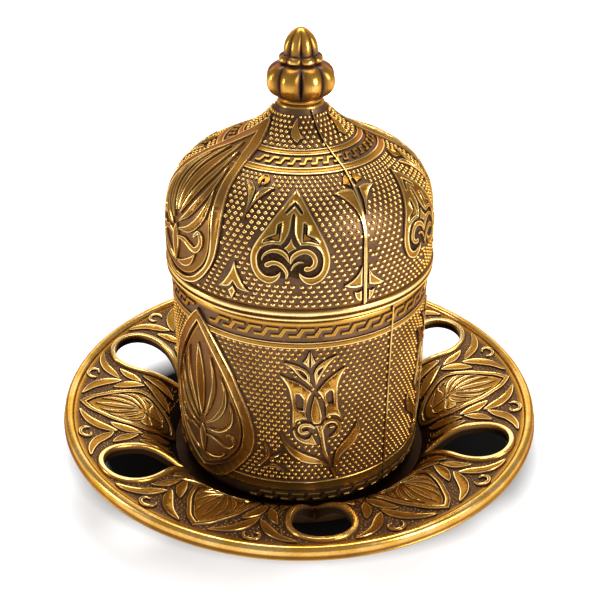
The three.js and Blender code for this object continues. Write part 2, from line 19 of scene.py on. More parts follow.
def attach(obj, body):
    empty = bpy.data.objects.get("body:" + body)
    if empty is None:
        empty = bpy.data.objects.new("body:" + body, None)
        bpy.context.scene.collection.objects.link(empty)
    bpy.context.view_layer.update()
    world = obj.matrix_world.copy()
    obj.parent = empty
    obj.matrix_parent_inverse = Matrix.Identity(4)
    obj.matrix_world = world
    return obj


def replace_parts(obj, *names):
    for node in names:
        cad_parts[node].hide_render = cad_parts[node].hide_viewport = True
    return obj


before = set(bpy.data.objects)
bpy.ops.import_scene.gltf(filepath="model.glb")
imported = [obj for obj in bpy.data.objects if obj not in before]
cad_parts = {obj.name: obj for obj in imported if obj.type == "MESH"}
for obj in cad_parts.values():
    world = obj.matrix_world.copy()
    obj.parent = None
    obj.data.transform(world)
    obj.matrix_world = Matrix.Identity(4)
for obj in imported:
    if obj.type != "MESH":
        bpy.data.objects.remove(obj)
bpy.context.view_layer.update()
LOG = logging.getLogger("coffee_set")

MM = 0.001
Spot = tuple[float, ...]
Run = Sequence[Spot]
Outline = list[Vector]
Section = list[tuple[float, float, float]]
HANDS = (1, -1)
TINY = 1e-6
# In millimetres: the thickest metal that is measured, and more than any motif reaches from its middle.
THICKEST = 6.0
WIDEST = 20.0


class Slot(Enum):
    """The record's material slots."""

    SAUCER = "brass_saucer"
    HOLDER = "brass_holder"
    LID = "brass_lid"
    PORCELAIN = "porcelain"


class Wear(float, Enum):
    """How far the dark patina is rubbed away, from a recess to a bare edge."""

    DEEP = 0.0
    RECESS = 0.18
    DULL = 0.3
    FACE = 0.5
    BRIGHT = 0.72
    EDGE = 1.0


def smooth(run: Run, step: float = 0.45) -> list[Vector]:
    """Draws one smooth line through a few points.

    Args:
        run: The points, each with two or three numbers. All of them are interpolated.
        step: The distance between the line's own points.

    Returns:
        The points of the line, the first and last of the run included.
    """
    spots = [Vector(spot) for spot in run]
    line = [spots[0]]
    for number, (here, there) in enumerate(zip(spots, spots[1:])):
        before = spots[max(number - 1, 0)]
        after = spots[min(number + 2, len(spots) - 1)]
        reach = (there - here).length / 3
        leave = here + (there - before).normalized() * reach
        arrive = there - (after - here).normalized() * reach
        count = max(2, math.ceil((there - here).length / step) + 1)
        line += interpolate_bezier(here, leave, arrive, there, count)[1:]
    return line


def linked(runs: Iterable[Run | Spot]) -> list[list[Spot]]:
    """Lets each run start where the one before it ends. A lone point stands for a straight line to it."""
    whole: list[list[Spot]] = []
    for run in runs:
        start = whole[-1][-1:] if whole else []
        whole.append([*start, *(run if isinstance(run[0], Sequence) else [run])])
    return whole


def leaf(*runs: Run | Spot) -> Outline:
    """Joins smooth runs end to end into a closed outline. It has a corner where two runs meet.

    Args:
        runs: The runs. All but the first leave out their start, which is the end of the one before. A lone
            point is a straight run, and a straight line closes the outline where the last run doesn't.

    Returns:
        The outline's points, the start not repeated.
    """
    whole = linked(runs)
    start, end = whole[0][0], whole[-1][-1]
    if end != start:
        whole.append([end, start])
    return [spot for run in whole for spot in smooth(run)[:-1]]


def mirror(outline: Outline, hand: int = -1) -> Outline:
    """Returns an outline with its x turned to the other side, where the hand is -1."""
    return [Vector((hand * spot.x, spot.y)) for spot in outline]


def both_sides(*runs: Run | Spot) -> Outline:
    """Closes an outline that is the same on both sides of the line x = 0.

    Args:
        runs: The right side, from its top to its bottom, as runs like those of a leaf.

    Returns:
        The whole outline.
    """
    whole = linked(runs)
    right = [spot for run in whole for spot in smooth(run)[:-1]] + [Vector(whole[-1][-1])]
    return right + mirror([spot for spot in reversed(right) if abs(spot.x) > TINY])


def ribbon(*run: Spot) -> Outline:
    """Draws a line of changing width as a closed outline, with round ends where it is wide.

    Args:
        run: The middle of the line, each point with its width as third number.

    Returns:
        The outline's points.
    """
    middle = smooth(run)
    sides: tuple[Outline, Outline] = ([], [])
    for number, spot in enumerate(middle):
        ahead = (middle[min(number + 1, len(middle) - 1)] - middle[max(number - 1, 0)]).xy.normalized()
        across = Vector((-ahead.y, ahead.x)) * spot.z / 2
        sides[0].append(spot.xy - across)
        sides[1].append(spot.xy + across)
    outline: Outline = []
    for side, spot, far in ((sides[0], middle[-1], sides[1][-1]), (sides[1][::-1], middle[0], sides[0][0])):
        outline += side
        spoke = side[-1] - spot.xy
        # A wide end gets three points of a half circle, and a sharp one keeps a single point.
        if spoke.length > 0.15:
            outline += [spot.xy + Matrix.Rotation(turn, 2) @ spoke for turn in (0.8, 1.57, 2.34)]
        elif (far - side[-1]).length < 0.2:
            outline.pop()
    return outline


def arc(middle: Spot | Vector, radius: float, angles: Iterable[float] = range(0, 360, 30)) -> Outline:
    """Returns the points of a circle at some angles in degrees, all round it if none are given."""
    turns = [math.radians(angle) for angle in angles]
    return [Vector(middle) + Vector((math.cos(turn), math.sin(turn))) * radius for turn in turns]


def area(outline: Outline) -> float:
    """Returns the signed area of an outline, above zero where it runs anticlockwise."""
    return sum(a.x * b.y - b.x * a.y for a, b in zip(outline, outline[1:] + outline[:1])) / 2


def inside(outline: Outline, x: float, y: float) -> bool:
    """Returns whether a point lies inside an outline."""
    crossings = 0
    for a, b in zip(outline, outline[1:] + outline[:1]):
        if (a.y > y) != (b.y > y) and x < a.x + (b.x - a.x) * (y - a.y) / (b.y - a.y):
            crossings += 1
    return crossings % 2 == 1


def distance(outline: Outline, x: float, y: float) -> float:
    """Returns the distance from a point to the nearest edge of an outline."""
    best = math.inf
    for a, b in zip(outline, outline[1:] + outline[:1]):
        dx, dy = b.x - a.x, b.y - a.y
        share = ((x - a.x) * dx + (y - a.y) * dy) / max(dx * dx + dy * dy, 1e-12)
        share = min(max(share, 0.0), 1.0)
        best = min(best, math.hypot(x - a.x - dx * share, y - a.y - dy * share))
    return best


def inward(outline: Outline) -> list[Vector]:
    """Returns the direction into the metal at each point of an outline."""
    directions = []
    for number in range(len(outline)):
        before = (outline[number] - outline[number - 1]).normalized()
        after = (outline[(number + 1) % len(outline)] - outline[number]).normalized()
        along = before + after
        if along.length < TINY:
            along = after
        along.normalize()
        directions.append(Vector((-along.y, along.x)))
    return directions


def shrunk(outline: Outline, gap: float) -> Outline:
    """Returns an outline moved towards its own inside by a gap."""
    turned = outline if area(outline) > 0 else outline[::-1]
    return [spot + way * gap for spot, way in zip(turned, inward(turned))]


def half_widths(outlines: list[Outline]) -> list[list[float]]:
    """Measures how thick the metal is at each point of a set of outlines.

    Args:
        outlines: The outer outline and its holes, each with the metal on its left.

    Returns:
        For each point, half the distance straight across the metal, evened out towards tips.
    """
    edges = [(a, b) for line in outlines for a, b in zip(line, line[1:] + line[:1])]
    found = []
    for line in outlines:
        widths = []
        for here, way in zip(line, inward(line)):
            nearest = THICKEST
            for a, b in edges:
                along = b - a
                slant = way.x * along.y - way.y * along.x
                if abs(slant) < 1e-9:
                    continue
                gap = a - here
                reach = (gap.x * along.y - gap.y * along.x) / slant
                share = (gap.x * way.y - gap.y * way.x) / slant
                if 1e-3 < reach < nearest and -TINY <= share <= 1 + TINY:
                    nearest = reach
            widths.append(nearest / 2)
        for _ in range(3):
            for number in range(len(line)):
                for other in (number - 1, (number + 1) % len(line)):
                    limit = widths[other] + 0.7 * (line[other] - line[number]).length
                    widths[number] = min(widths[number], limit)
        found.append(widths)
    return found


def finished(shape: bmesh.types.BMesh, name: str) -> bpy.types.Mesh:
    """Turns a mesh in the making into a finished one, and frees it."""
    made = bpy.data.meshes.new(name)
    shape.to_mesh(made)
    shape.free()
    return made


def placed(name: str, data: bpy.types.ID) -> bpy.types.Object:
    """Adds an object with some data to the scene."""
    made = bpy.data.objects.new(name, data)
    bpy.context.scene.collection.objects.link(made)
    return made


class Profile:
    """The outline of a turned surface, read by its length or by its radius."""

    def __init__(self, points: Sequence[Vector], start: float = 0.0) -> None:
        """Measures the outline.

        Args:
            points: Radius and height of each point, in millimetres, with the outside on the right.
            start: The length at which the outline is to read zero.
        """
        self.points = list(points)
        self.lengths = [-start]
        for here, there in zip(self.points, self.points[1:]):
            self.lengths.append(self.lengths[-1] + (there - here).length)
        steps = [(b - a).normalized() for a, b in zip(self.points, self.points[1:])]
        joined = [a + b for a, b in zip(steps, steps[1:])]
        alongs = [steps[0], *joined, steps[-1]]
        self.normals = [Vector((along.y, -along.x)).normalized() for along in alongs]

    def _between(self, values: Sequence[float], wanted: float) -> tuple[Vector, Vector]:
        """Returns place and normal where a rising list of values reaches a wanted one."""
        number = 0
        while number < len(values) - 2 and values[number + 1] < wanted:
            number += 1
        span = max(values[number + 1] - values[number], 1e-9)
        share = (wanted - values[number]) / span
        place = self.points[number].lerp(self.points[number + 1], share)
        normal = self.normals[number].lerp(self.normals[number + 1], min(max(share, 0.0), 1.0))
        return place, normal.normalized()

    def at_length(self, length: float) -> tuple[Vector, Vector]:
        """Returns place and normal at a length along the outline."""
        return self._between(self.lengths, length)

    def at_radius(self, radius: float) -> tuple[Vector, Vector]:
        """Returns place and normal at a radius, on an outline that runs outwards."""
        return self._between([point.x for point in self.points], radius)


class Sheet:
    """A surface that flat drawings are wrapped onto."""

    def lift(self, angle: float, x: float, y: float, height: float) -> Vector:
        """Wraps one point of a drawing.

        Args:
            angle: Where the drawing's middle line goes, in degrees round the axis.
            x: Distance from the middle line, anticlockwise, in millimetres.
            y: Distance along the surface, in millimetres.
            height: Height above the surface, in millimetres.

        Returns:
            The place in metres.
        """
        raise NotImplementedError

    def upright(self, angle: float, x: float, y: float) -> Matrix:
        """Returns the frame of a small thing that stands on the surface, as a matrix in metres."""
        here = self.lift(angle, x, y, 0)
        out = (self.lift(angle, x, y, 1) - here).normalized()
        along = (self.lift(angle, x, y + 0.2, 0) - here).normalized()
        side = along.cross(out)
        turned = Matrix((side, along, out)).transposed().to_4x4()
        return Matrix.Translation(here) @ turned @ Matrix.Scale(MM, 4)


@dataclass
class WrappedSheet(Sheet):
    """The side of a turned piece: drawings go round it, and up its outline."""

    profile: Profile
    radius: float

    def lift(self, angle: float, x: float, y: float, height: float) -> Vector:
        """Wraps one point. The radius field sets how many millimetres of a drawing go round."""
        place, normal = self.profile.at_length(y)
        spot = (place + normal * height) * MM
        turn = math.radians(angle) + x / self.radius
        return Vector((spot.x * math.cos(turn), spot.x * math.sin(turn), spot.y))


@dataclass
class PlanSheet(Sheet):
    """The upper side of a dish: drawings are laid on it from above, y running outwards."""

    profile: Profile

    def lift(self, angle: float, x: float, y: float, height: float) -> Vector:
        """Drops one point of a plan onto the dish."""
        place, normal = self.profile.at_radius(math.hypot(x, y))
        turn = math.radians(angle) + math.atan2(x, y)
        spot = (place - normal * height) * MM
        return Vector((spot.x * math.cos(turn), spot.x * math.sin(turn), spot.y))


@dataclass
class Motif:
    """One raised shape: a flat outline with holes, a height and a silhouette that dots keep out of."""

    outline: Outline
    holes: list[Outline] = field(default_factory=list)
    height: float = 0.6
    sink: float = 0.12
    rim: float = 0.22
    edge: float = Wear.EDGE
    face: float = Wear.FACE
    lattice: float = 1.8
    silhouette: Outline | None = None
    side: float = 0.12
    buried: float = -0.3

    def levels(self) -> Section:
        """Returns the loops of the raised edge, each as an inset, a height and a wear."""
        return [
            (-0.1, self.buried, Wear.DEEP),
            (0.0, self.height * 0.5, Wear.RECESS / 2),
            (self.side, self.height, self.edge),
            (self.side + self.rim, self.height, self.edge),
            (2 * self.side + self.rim, self.height - self.sink, self.face),
        ]

    def mesh(self) -> bpy.types.Mesh:
        """Builds the flat raised shape as a closed solid, in millimetres.

        Returns:
            A mesh with the wear of each point in an attribute.
        """
        turned = [self.outline if area(self.outline) > 0 else self.outline[::-1]]
        turned += [hole if area(hole) < 0 else hole[::-1] for hole in self.holes]
        spots = [spot for line in turned for spot in line]
        ways = [way for line in turned for way in inward(line)]
        limits = [width for line in half_widths(turned) for width in line]
        shape = bmesh.new()
        wear = shape.verts.layers.float.new("wear")
        rank = shape.verts.layers.int.new("rank")
        edges = []
        for line in turned:
            first = len(shape.verts)
            verts = [shape.verts.new((spot.x, spot.y, 0)) for spot in line]
            for number, vert in enumerate(verts):
                vert[rank] = first + number
            edges += [shape.edges.new((a, b)) for a, b in zip(verts, verts[1:] + verts[:1])]
        bottom = list(edges)
        moved = list(shape.verts)
        for number, (inset, height, rubbed) in enumerate(self.levels()):
            if number:
                grown = bmesh.ops.extrude_edge_only(shape, edges=edges)["geom"]
                moved = [part for part in grown if isinstance(part, bmesh.types.BMVert)]
                new = set(moved)
                edges = [
                    part for part in grown
                    if isinstance(part, bmesh.types.BMEdge) and new.issuperset(part.verts)
                ]
            for vert in moved:
                place = vert[rank]
                share = min(inset, limits[place] * 0.8 * inset / (2 * self.side + self.rim))
                spot = spots[place] + ways[place] * share
                vert.co = (spot.x, spot.y, height)
                vert[wear] = rubbed
        bmesh.ops.triangle_fill(shape, use_beauty=True, edges=edges)
        bmesh.ops.triangle_fill(shape, use_beauty=True, edges=bottom)
        bmesh.ops.recalc_face_normals(shape, faces=shape.faces)
        self._cut_lattice(shape)
        shape.verts.layers.int.remove(rank)
        return finished(shape, "motif")

    def _cut_lattice(self, shape: bmesh.types.BMesh) -> None:
        """Cuts a drawing into small squares, so that it can bend round the piece."""
        for axis in (Vector((1, 0, 0)), Vector((0, 1, 0))):
            reaches = [vert.co.dot(axis) for vert in shape.verts]
            low, high = min(reaches), max(reaches)
            count = math.ceil((high - low) / self.lattice)
            for number in range(1, count):
                spot = axis * (low + (high - low) * number / count)
                parts = [*shape.verts, *shape.edges, *shape.faces]
                bmesh.ops.bisect_plane(shape, geom=parts, dist=1e-4, plane_co=spot, plane_no=axis)

    def covers(self, x: float, y: float, margin: float) -> bool:
        """Returns whether a point is on the shape or nearer to it than a margin."""
        shadow = self.silhouette or self.outline
        if not self._near(shadow, x, y, margin):
            return False
        return inside(shadow, x, y) or distance(shadow, x, y) < margin

    @staticmethod
    def _near(shadow: Outline, x: float, y: float, margin: float) -> bool:
        """Returns whether a point is in the box round an outline."""
        xs = [spot.x for spot in shadow]
        ys = [spot.y for spot in shadow]
        return min(xs) - margin < x < max(xs) + margin and min(ys) - margin < y < max(ys) + margin


class RolledLip(Motif):
    """A raised band with a round back instead of a flat face."""

    def levels(self) -> Section:
        """Returns the loops of the band's round side, each as an inset, a height and a wear."""
        made = [(-0.1, self.buried, Wear.DEEP)]
        for angle in range(15, 91, 15):
            turn = math.radians(angle)
            height = self.height * math.sin(turn)
            made.append((0.5 * (1 - math.cos(turn)), height, 0.25 + height / self.height * 0.7))
        return made


class Patch(Motif):
    """A thin dark floor inside an ornament."""

    def levels(self) -> Section:
        """Returns its two loops, under the surface and just above it."""
        return [(0.0, self.buried, Wear.DEEP), (0.05, self.height, Wear.RECESS / 3)]


def raised(*runs: Run | Spot, **look: float) -> Motif:
    """Raises a leaf of smooth runs, with the look that a motif's fields give."""
    return Motif(leaf(*runs), **look)


def stroke(*run: Spot, **look: float | Outline) -> Motif:
    """Raises a ribbon, with the look that a motif's fields give."""
    return Motif(ribbon(*run), **look)


@dataclass
class Place:
    """Where a group of motifs goes on a sheet."""

    motifs: Sequence[Motif]
    angle: float
    mirrored: bool = False
    rise: float = 0.0


def either_side(middle: float, groups: Iterable[tuple[Sequence[Motif], float]]) -> list[Place]:
    """Puts groups of motifs on both sides of a line, mirrored on its second side.

    Args:
        middle: The line's angle in degrees.
        groups: Each group with its distance from the line in degrees.

    Returns:
        Where the groups go.
    """
    return [Place(motifs, middle + hand * gap, hand < 0) for hand in HANDS for motifs, gap in groups]


def key_border(key: Sequence[Motif], start: float, step: float, gap: float, rise: float) -> list[Place]:
    """Repeats one unit of the key border over the half turn from one medallion to the next.

    Args:
        key: The unit.
        start: The first medallion's angle in degrees.
        step: The unit's length in degrees.
        gap: How many degrees stay free at each medallion.
        rise: The height of the border's middle.

    Returns:
        Where the units go.
    """
    count = int((180 - 2 * gap) / step)
    turns = [start + 90 + (number - (count - 1) / 2) * step for number in range(count)]
    return [Place(key, turn, rise=rise) for turn in turns]


def seam_ridge(path: Iterable[Spot], width: float, height: float) -> Motif:
    """Draws the low ridge that the mould's seam left. Beads keep clear of its middle only."""
    outline, middle = (ribbon(*[(x, y, wide) for x, y in path]) for wide in (width, 0.1))
    return Motif(outline, height=height, sink=0.0, rim=0.04, edge=0.85, face=0.85, silhouette=middle)


@dataclass
class Dots:
    """A field of small cast beads in rows, each row set off sideways from the last."""

    pitch: float
    rows: float
    low: float
    high: float
    size: Spot
    stagger: float = 0.5
    margin: float = 0.55


class Piece:
    """A mesh in the making, with a wear attribute, that ends as one named object."""

    def __init__(self, name: str, body: str, slot: Slot) -> None:
        """Starts an empty mesh.

        Args:
            name: The object's name.
            body: The CAD body that it rides on.
            slot: The record's material slot. It is kept on the piece but not used.
        """
        self.name = name
        self.body = body
        self.slot = slot
        self.mesh = bmesh.new()
        self.wear = self.mesh.verts.layers.float.new("wear")

    def spin(
        self, section: Section, steps: int, start: float = 0.0, turn: float = 360.0, closed: bool = False
    ) -> None:
        """Turns a section about the axis.

        Args:
            section: Radius, height and wear of each point, in millimetres.
            steps: How many steps the turn has.
            start: The angle that the turn starts at, in degrees.
            turn: How far it goes, in degrees.
            closed: Whether the section's last point joins its first.
        """
        part = bmesh.new()
        wear = part.verts.layers.float.new("wear")
        for radius, height, rubbed in section:
            spot = Matrix.Rotation(math.radians(start), 3, "Z") @ Vector((radius, 0, height))
            part.verts.new(spot * MM)[wear] = rubbed
        part.verts.ensure_lookup_table()
        verts = list(part.verts)
        chain = list(zip(verts, verts[1:] + verts[:1])) if closed else list(zip(verts, verts[1:]))
        edges = [part.edges.new(pair) for pair in chain]
        whole = abs(turn - 360) < TINY
        made = bmesh.ops.spin(
            part, geom=verts + edges, axis=(0, 0, 1), angle=math.radians(turn), steps=steps, use_merge=whole
        )
        if closed and not whole:
            last = [item for item in made["geom_last"] if isinstance(item, bmesh.types.BMEdge)]
            bmesh.ops.edgenet_fill(part, edges=edges)
            bmesh.ops.edgenet_fill(part, edges=last)
        bmesh.ops.remove_doubles(part, verts=part.verts, dist=1e-7)
        bmesh.ops.recalc_face_normals(part, faces=part.faces)
        self.take(part)

    def half_rings(self, section: Section, medallions: Iterable[float], gap: float) -> None:
        """Turns a ring's section from each medallion to the next, with a gap in degrees at both."""
        for medallion in medallions:
            self.spin(section, steps=90, start=medallion + gap, turn=180 - 2 * gap, closed=True)

    def take(self, part: bmesh.types.BMesh) -> None:
        """Adds another mesh to this one, and frees it."""
        spare = finished(part, "spare")
        self.mesh.from_mesh(spare)
        bpy.data.meshes.remove(spare)

    def lay(self, sheet: Sheet, places: Iterable[Place]) -> None:
        """Wraps motifs onto a sheet.

        Args:
            sheet: The surface.
            places: The motifs and where they go.
        """
        drawn: dict[int, bpy.types.Mesh] = {}
        for place in places:
            for motif in place.motifs:
                if id(motif) not in drawn:
                    drawn[id(motif)] = motif.mesh()
                self._wrap(drawn[id(motif)], sheet, place)
        for flat in drawn.values():
            bpy.data.meshes.remove(flat)

    def _wrap(self, flat: bpy.types.Mesh, sheet: Sheet, place: Place) -> None:
        """Adds one wrapped copy of a flat mesh."""
        part = bmesh.new()
        part.from_mesh(flat)
        hand = -1 if place.mirrored else 1
        for vert in part.verts:
            x, y, height = vert.co
            vert.co = sheet.lift(place.angle, hand * x, y + place.rise, height)
        if place.mirrored:
            bmesh.ops.reverse_faces(part, faces=part.faces)
        self.take(part)

    def scatter(self, bead: bpy.types.Mesh, frames: Sequence[Matrix]) -> None:
        """Adds a copy of a small mesh in each of many frames.

        Args:
            bead: The small mesh, in millimetres.
            frames: Where the copies go.
        """
        part = bmesh.new()
        for _ in frames:
            part.from_mesh(bead)
        size = len(bead.vertices)
        for number, vert in enumerate(part.verts):
            vert.co = frames[number // size] @ vert.co
        self.take(part)

    def finish(self, material: bpy.types.Material, sharp: float = 50.0) -> bpy.types.Object:
        """Makes the object, dresses it and lets it ride.

        Args:
            material: Its finish.
            sharp: The angle above which an edge is shaded as a corner, in degrees.

        Returns:
            The finished object.
        """
        data = finished(self.mesh, self.name)
        data.shade_smooth()
        data.set_sharp_from_angle(angle=math.radians(sharp))
        data.materials.append(material)
        made = placed(self.name, data)
        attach(made, self.body)
        data.calc_loop_triangles()
        LOG.info("%s: %d triangles", self.name, len(data.loop_triangles))
        return made


def bead_mesh(size: Spot, tip_wear: float = Wear.EDGE) -> bpy.types.Mesh:
    """Makes one cast bead: a low rounded cone that stands on z = 0, sunk a little.

    Args:
        size: Its length along x and y, and its height, in millimetres.
        tip_wear: How far its tip is rubbed.

    Returns:
        The mesh, closed, with its wear rising to the tip.
    """
    wide, long, high = Vector(size)
    shape = bmesh.new()
    wear = shape.verts.layers.float.new("wear")
    bmesh.ops.create_cone(
        shape, cap_ends=True, cap_tris=False, segments=8, radius1=0.5, radius2=0.36, depth=1
    )
    top = max(shape.faces, key=lambda face: face.calc_center_median().z)
    tip = bmesh.ops.poke(shape, faces=[top])["verts"][0]
    tip.co.z += 0.25
    for vert in shape.verts:
        vert[wear] = Wear.DEEP if vert.co.z < 0 else tip_wear * 0.82
        vert.co = Vector((vert.co.x * wide, vert.co.y * long, (vert.co.z + 0.2) * high))
    tip[wear] = tip_wear
    return finished(shape, "bead")


class Number:
    """A number that changes over a surface: an output socket with Python's operators on it."""

    def __init__(self, shader: "Shader", socket: bpy.types.NodeSocket) -> None:
        """Keeps the socket and the shader that it belongs to."""
        self.shader = shader
        self.socket = socket

    def _math(self, operation: str, first: "Number | float", second: "Number | float") -> "Number":
        """Adds a Math node and returns its result."""
        made = self.shader.node("ShaderNodeMath", {"operation": operation}, {0: first, 1: second})
        return Number(self.shader, made.outputs[0])

    def __add__(self, other: "Number | float") -> "Number":
        """Returns the sum."""
        return self._math("ADD", self, other)

    __radd__ = __add__

    def __sub__(self, other: "Number | float") -> "Number":
        """Returns the difference."""
        return self._math("SUBTRACT", self, other)

    def __rsub__(self, other: float) -> "Number":
        """Returns a plain number less this one."""
        return self._math("SUBTRACT", other, self)

    def __mul__(self, other: "Number | float") -> "Number":
        """Returns the product."""
        return self._math("MULTIPLY", self, other)

    __rmul__ = __mul__

    def clamped(self) -> "Number":
        """Returns the number kept between 0 and 1."""
        made = self.shader.node("ShaderNodeClamp", {}, {"Value": self})
        return Number(self.shader, made.outputs[0])


class Shader:
    """The nodes of one material, or of the world, in the making."""

    def __init__(self, owner: bpy.types.Material | bpy.types.World) -> None:
        """Empties the owner's nodes."""
        self.owner = owner
        owner.use_nodes = True
        self.tree = owner.node_tree
        self.tree.nodes.clear()

    def node(
        self,
        kind: str,
        settings: dict[str, object] | None = None,
        inputs: dict[str | int, object] | None = None,
    ) -> bpy.types.Node:
        """Adds one node.

        Args:
            kind: The node's type.
            settings: Its settings, set first. A ramp's stops are pairs of a place and a colour.
            inputs: Values or links of its sockets, by name or number.

        Returns:
            The node.
        """
        made = self.tree.nodes.new(kind)
        for name, value in (settings or {}).items():
            if name == "stops":
                self._set_stops(made.color_ramp, value)
            else:
                setattr(made, name, value)
        for name, value in (inputs or {}).items():
            source = value.socket if isinstance(value, Number) else value
            if isinstance(source, bpy.types.NodeSocket):
                self.tree.links.new(source, made.inputs[name])
            else:
                made.inputs[name].default_value = source
        return made

    @staticmethod
    def _set_stops(ramp: bpy.types.ColorRamp, stops: Sequence[tuple[float, Spot]]) -> None:
        """Gives a ramp its stops."""
        while len(ramp.elements) > 1:
            ramp.elements.remove(ramp.elements[-1])
        ramp.elements[0].position, ramp.elements[0].color = stops[0]
        for place, colour in stops[1:]:
            ramp.elements.new(place).color = colour

    def noise(self, size: float, detail: float = 3.0) -> Number:
        """Returns cloudy noise on the object's own coordinates.

        Args:
            size: How wide its patches are, in millimetres.
            detail: How many finer layers it has.

        Returns:
            The noise, mostly between 0.3 and 0.7.
        """
        place = self.node("ShaderNodeTexCoord").outputs["Object"]
        made = self.node(
            "ShaderNodeTexNoise", {}, {"Vector": place, "Scale": 1 / (size * MM), "Detail": detail}
        )
        return Number(self, made.outputs["Fac"])

    def attribute(self, name: str) -> Number:
        """Returns a mesh's own attribute as a number."""
        return Number(self, self.node("ShaderNodeAttribute", {"attribute_name": name}).outputs["Fac"])

    def ramp(self, value: Number, stops: Sequence[tuple[float, Spot]]) -> bpy.types.NodeSocket:
        """Returns the colour that a number picks from a ramp."""
        return self.node("ShaderNodeValToRGB", {"stops": stops}, {"Fac": value}).outputs["Color"]

    def bump(self, height: Number, depth: float, strength: float = 1.0) -> bpy.types.NodeSocket:
        """Returns the normal of a height, whose whole range is as deep as the millimetres given."""
        inputs = {"Strength": strength, "Distance": depth * MM, "Height": height}
        return self.node("ShaderNodeBump", {}, inputs).outputs["Normal"]

    def blend(self, share: Number, first: bpy.types.Node, second: bpy.types.Node) -> bpy.types.Node:
        """Mixes two surfaces and returns the Mix Shader node."""
        return self.node("ShaderNodeMixShader", {}, {0: share, 1: first.outputs[0], 2: second.outputs[0]})

    def principled(self, inputs: dict[str, object]) -> bpy.types.Material:
        """Closes a material with one Principled surface."""
        return self.close(self.node("ShaderNodeBsdfPrincipled", {}, inputs))

    def close(self, surface: bpy.types.Node) -> bpy.types.Material | bpy.types.World:
        """Links the surface to the owner's output and returns the owner."""
        kind = "World" if isinstance(self.owner, bpy.types.World) else "Material"
        self.node("ShaderNodeOutput" + kind, {}, {"Surface": surface.outputs[0]})
        return self.owner


def material_shader(name: str) -> Shader:
    """Starts a new material."""
    return Shader(bpy.data.materials.new(name))


def srgb(red: float, green: float, blue: float) -> Spot:
    """Returns a colour written in screen values of 0 to 255 as linear red, green, blue and alpha."""
    shares = [value / 255 for value in (red, green, blue)]
    linear = [share / 12.92 if share < 0.04045 else ((share + 0.055) / 1.055) ** 2.4 for share in shares]
    return (*linear, 1.0)


def grey(level: float) -> Spot:
    """Returns a plain grey as red, green, blue and alpha."""
    return level, level, level, 1.0


@dataclass(frozen=True)
class WornBrass:
    """Cast brass under dark patina, rubbed back to gold on its raised edges."""

    name: str
    deep: Spot = srgb(42, 26, 12)
    recess: Spot = srgb(98, 73, 56)
    bronze: Spot = srgb(150, 104, 40)
    gold: Spot = srgb(204, 152, 66)
    edge: Spot = srgb(252, 222, 154)
    glancing: Spot = srgb(170, 128, 78)
    tarnish: float = 0.0
    cloud_size: float = 7.0
    cloud_wear: float = 0.3
    cloud_roughness: float = 0.15
    grain_size: float = 0.5
    grain_wear: float = 0.16
    least_metal: float = 0.62
    polish: float = 0.2
    dullness: float = 0.34
    cast_size: float = 1.6
    cast_depth: float = 0.05

    def material(self) -> bpy.types.Material:
        """Builds the node material: the more it is rubbed, the brighter, smoother and more metallic."""
        shader = material_shader(self.name)
        clouds = shader.noise(self.cloud_size)
        grain = shader.noise(self.grain_size, detail=2.0)
        # The wear attribute is mostly real wear, and also painted shade where a piece sets it low for
        # shade, as down in the saucer's well.
        wear_and_shade = shader.attribute("wear")
        uneven = (clouds - 0.5) * self.cloud_wear + (grain - 0.5) * self.grain_wear
        rubbed = (wear_and_shade + uneven - self.tarnish).clamped()
        colours = (self.deep, self.recess, self.bronze, self.gold, self.edge)
        dull = 1 - rubbed
        cast = (shader.noise(self.cast_size) * 0.7 + grain * 0.3) * (1.1 - wear_and_shade * 0.8)
        return shader.principled({
            "Base Color": shader.ramp(rubbed, list(zip((0.0, 0.18, 0.46, 0.75, 1.0), colours))),
            "Specular Tint": self.glancing,
            "Metallic": self.least_metal + rubbed * (1 - self.least_metal),
            "Roughness": self.polish + dull * dull * self.dullness + (clouds - 0.5) * self.cloud_roughness,
            "Normal": shader.bump(cast, self.cast_depth),
        })


@dataclass(frozen=True)
class Glaze:
    """White porcelain under a clear glaze."""

    name: str
    body: Spot = srgb(240, 237, 229)
    pooled: Spot = srgb(228, 226, 220)
    cloud_size: float = 12.0
    ripple_size: float = 4.0
    ripple_depth: float = 0.05
    polish: float = 0.12
    cloud_roughness: float = 0.1
    coat: float = 0.6
    coat_roughness: float = 0.05

    def material(self) -> bpy.types.Material:
        """Builds the node material."""
        shader = material_shader(self.name)
        clouds = shader.noise(self.cloud_size)
        return shader.principled({
            "Base Color": shader.ramp(clouds, ((0.35, self.body), (0.7, self.pooled))),
            "Roughness": self.polish + clouds * self.cloud_roughness,
            "Coat Weight": self.coat,
            "Coat Roughness": self.coat_roughness,
            "Normal": shader.bump(shader.noise(self.ripple_size), self.ripple_depth, strength=0.3),
        })


def bezier(start: Vector, end: Vector, pulls: Spot, steps: int) -> list[Vector]:
    """Draws a curve as the CAD source does.

    Args:
        start: Radius and height where it starts.
        end: Where it ends.
        pulls: The two handles, each as a share of the curve's width and a share of its height.
        steps: How many steps it has.

    Returns:
        The points, both ends included.
    """
    span = end - start
    leave = Vector((start.x + span.x * pulls[0], start.y + span.y * pulls[1]))
    arrive = Vector((start.x + span.x * pulls[2], start.y + span.y * pulls[3]))
    return interpolate_bezier(start, leave, arrive, end, steps + 1)


def quarter(start: Vector, corner: Vector, end: Vector, steps: int = 8) -> list[Vector]:
    """Draws a quarter of an ellipse that leaves the start towards the corner."""
    pull = 0.55
    return interpolate_bezier(start, start.lerp(corner, pull), end.lerp(corner, pull), end, steps + 1)


def beside(points: Sequence[Vector], gap: float) -> list[Vector]:
    """Returns the same line moved to its right by a gap."""
    profile = Profile(points)
    return [place + normal * gap for place, normal in zip(profile.points, profile.normals)]


def worn(points: Iterable[Vector | Spot], wear: float) -> Section:
    """Gives every point of a section the same wear."""
    return [(point[0], point[1], wear) for point in points]


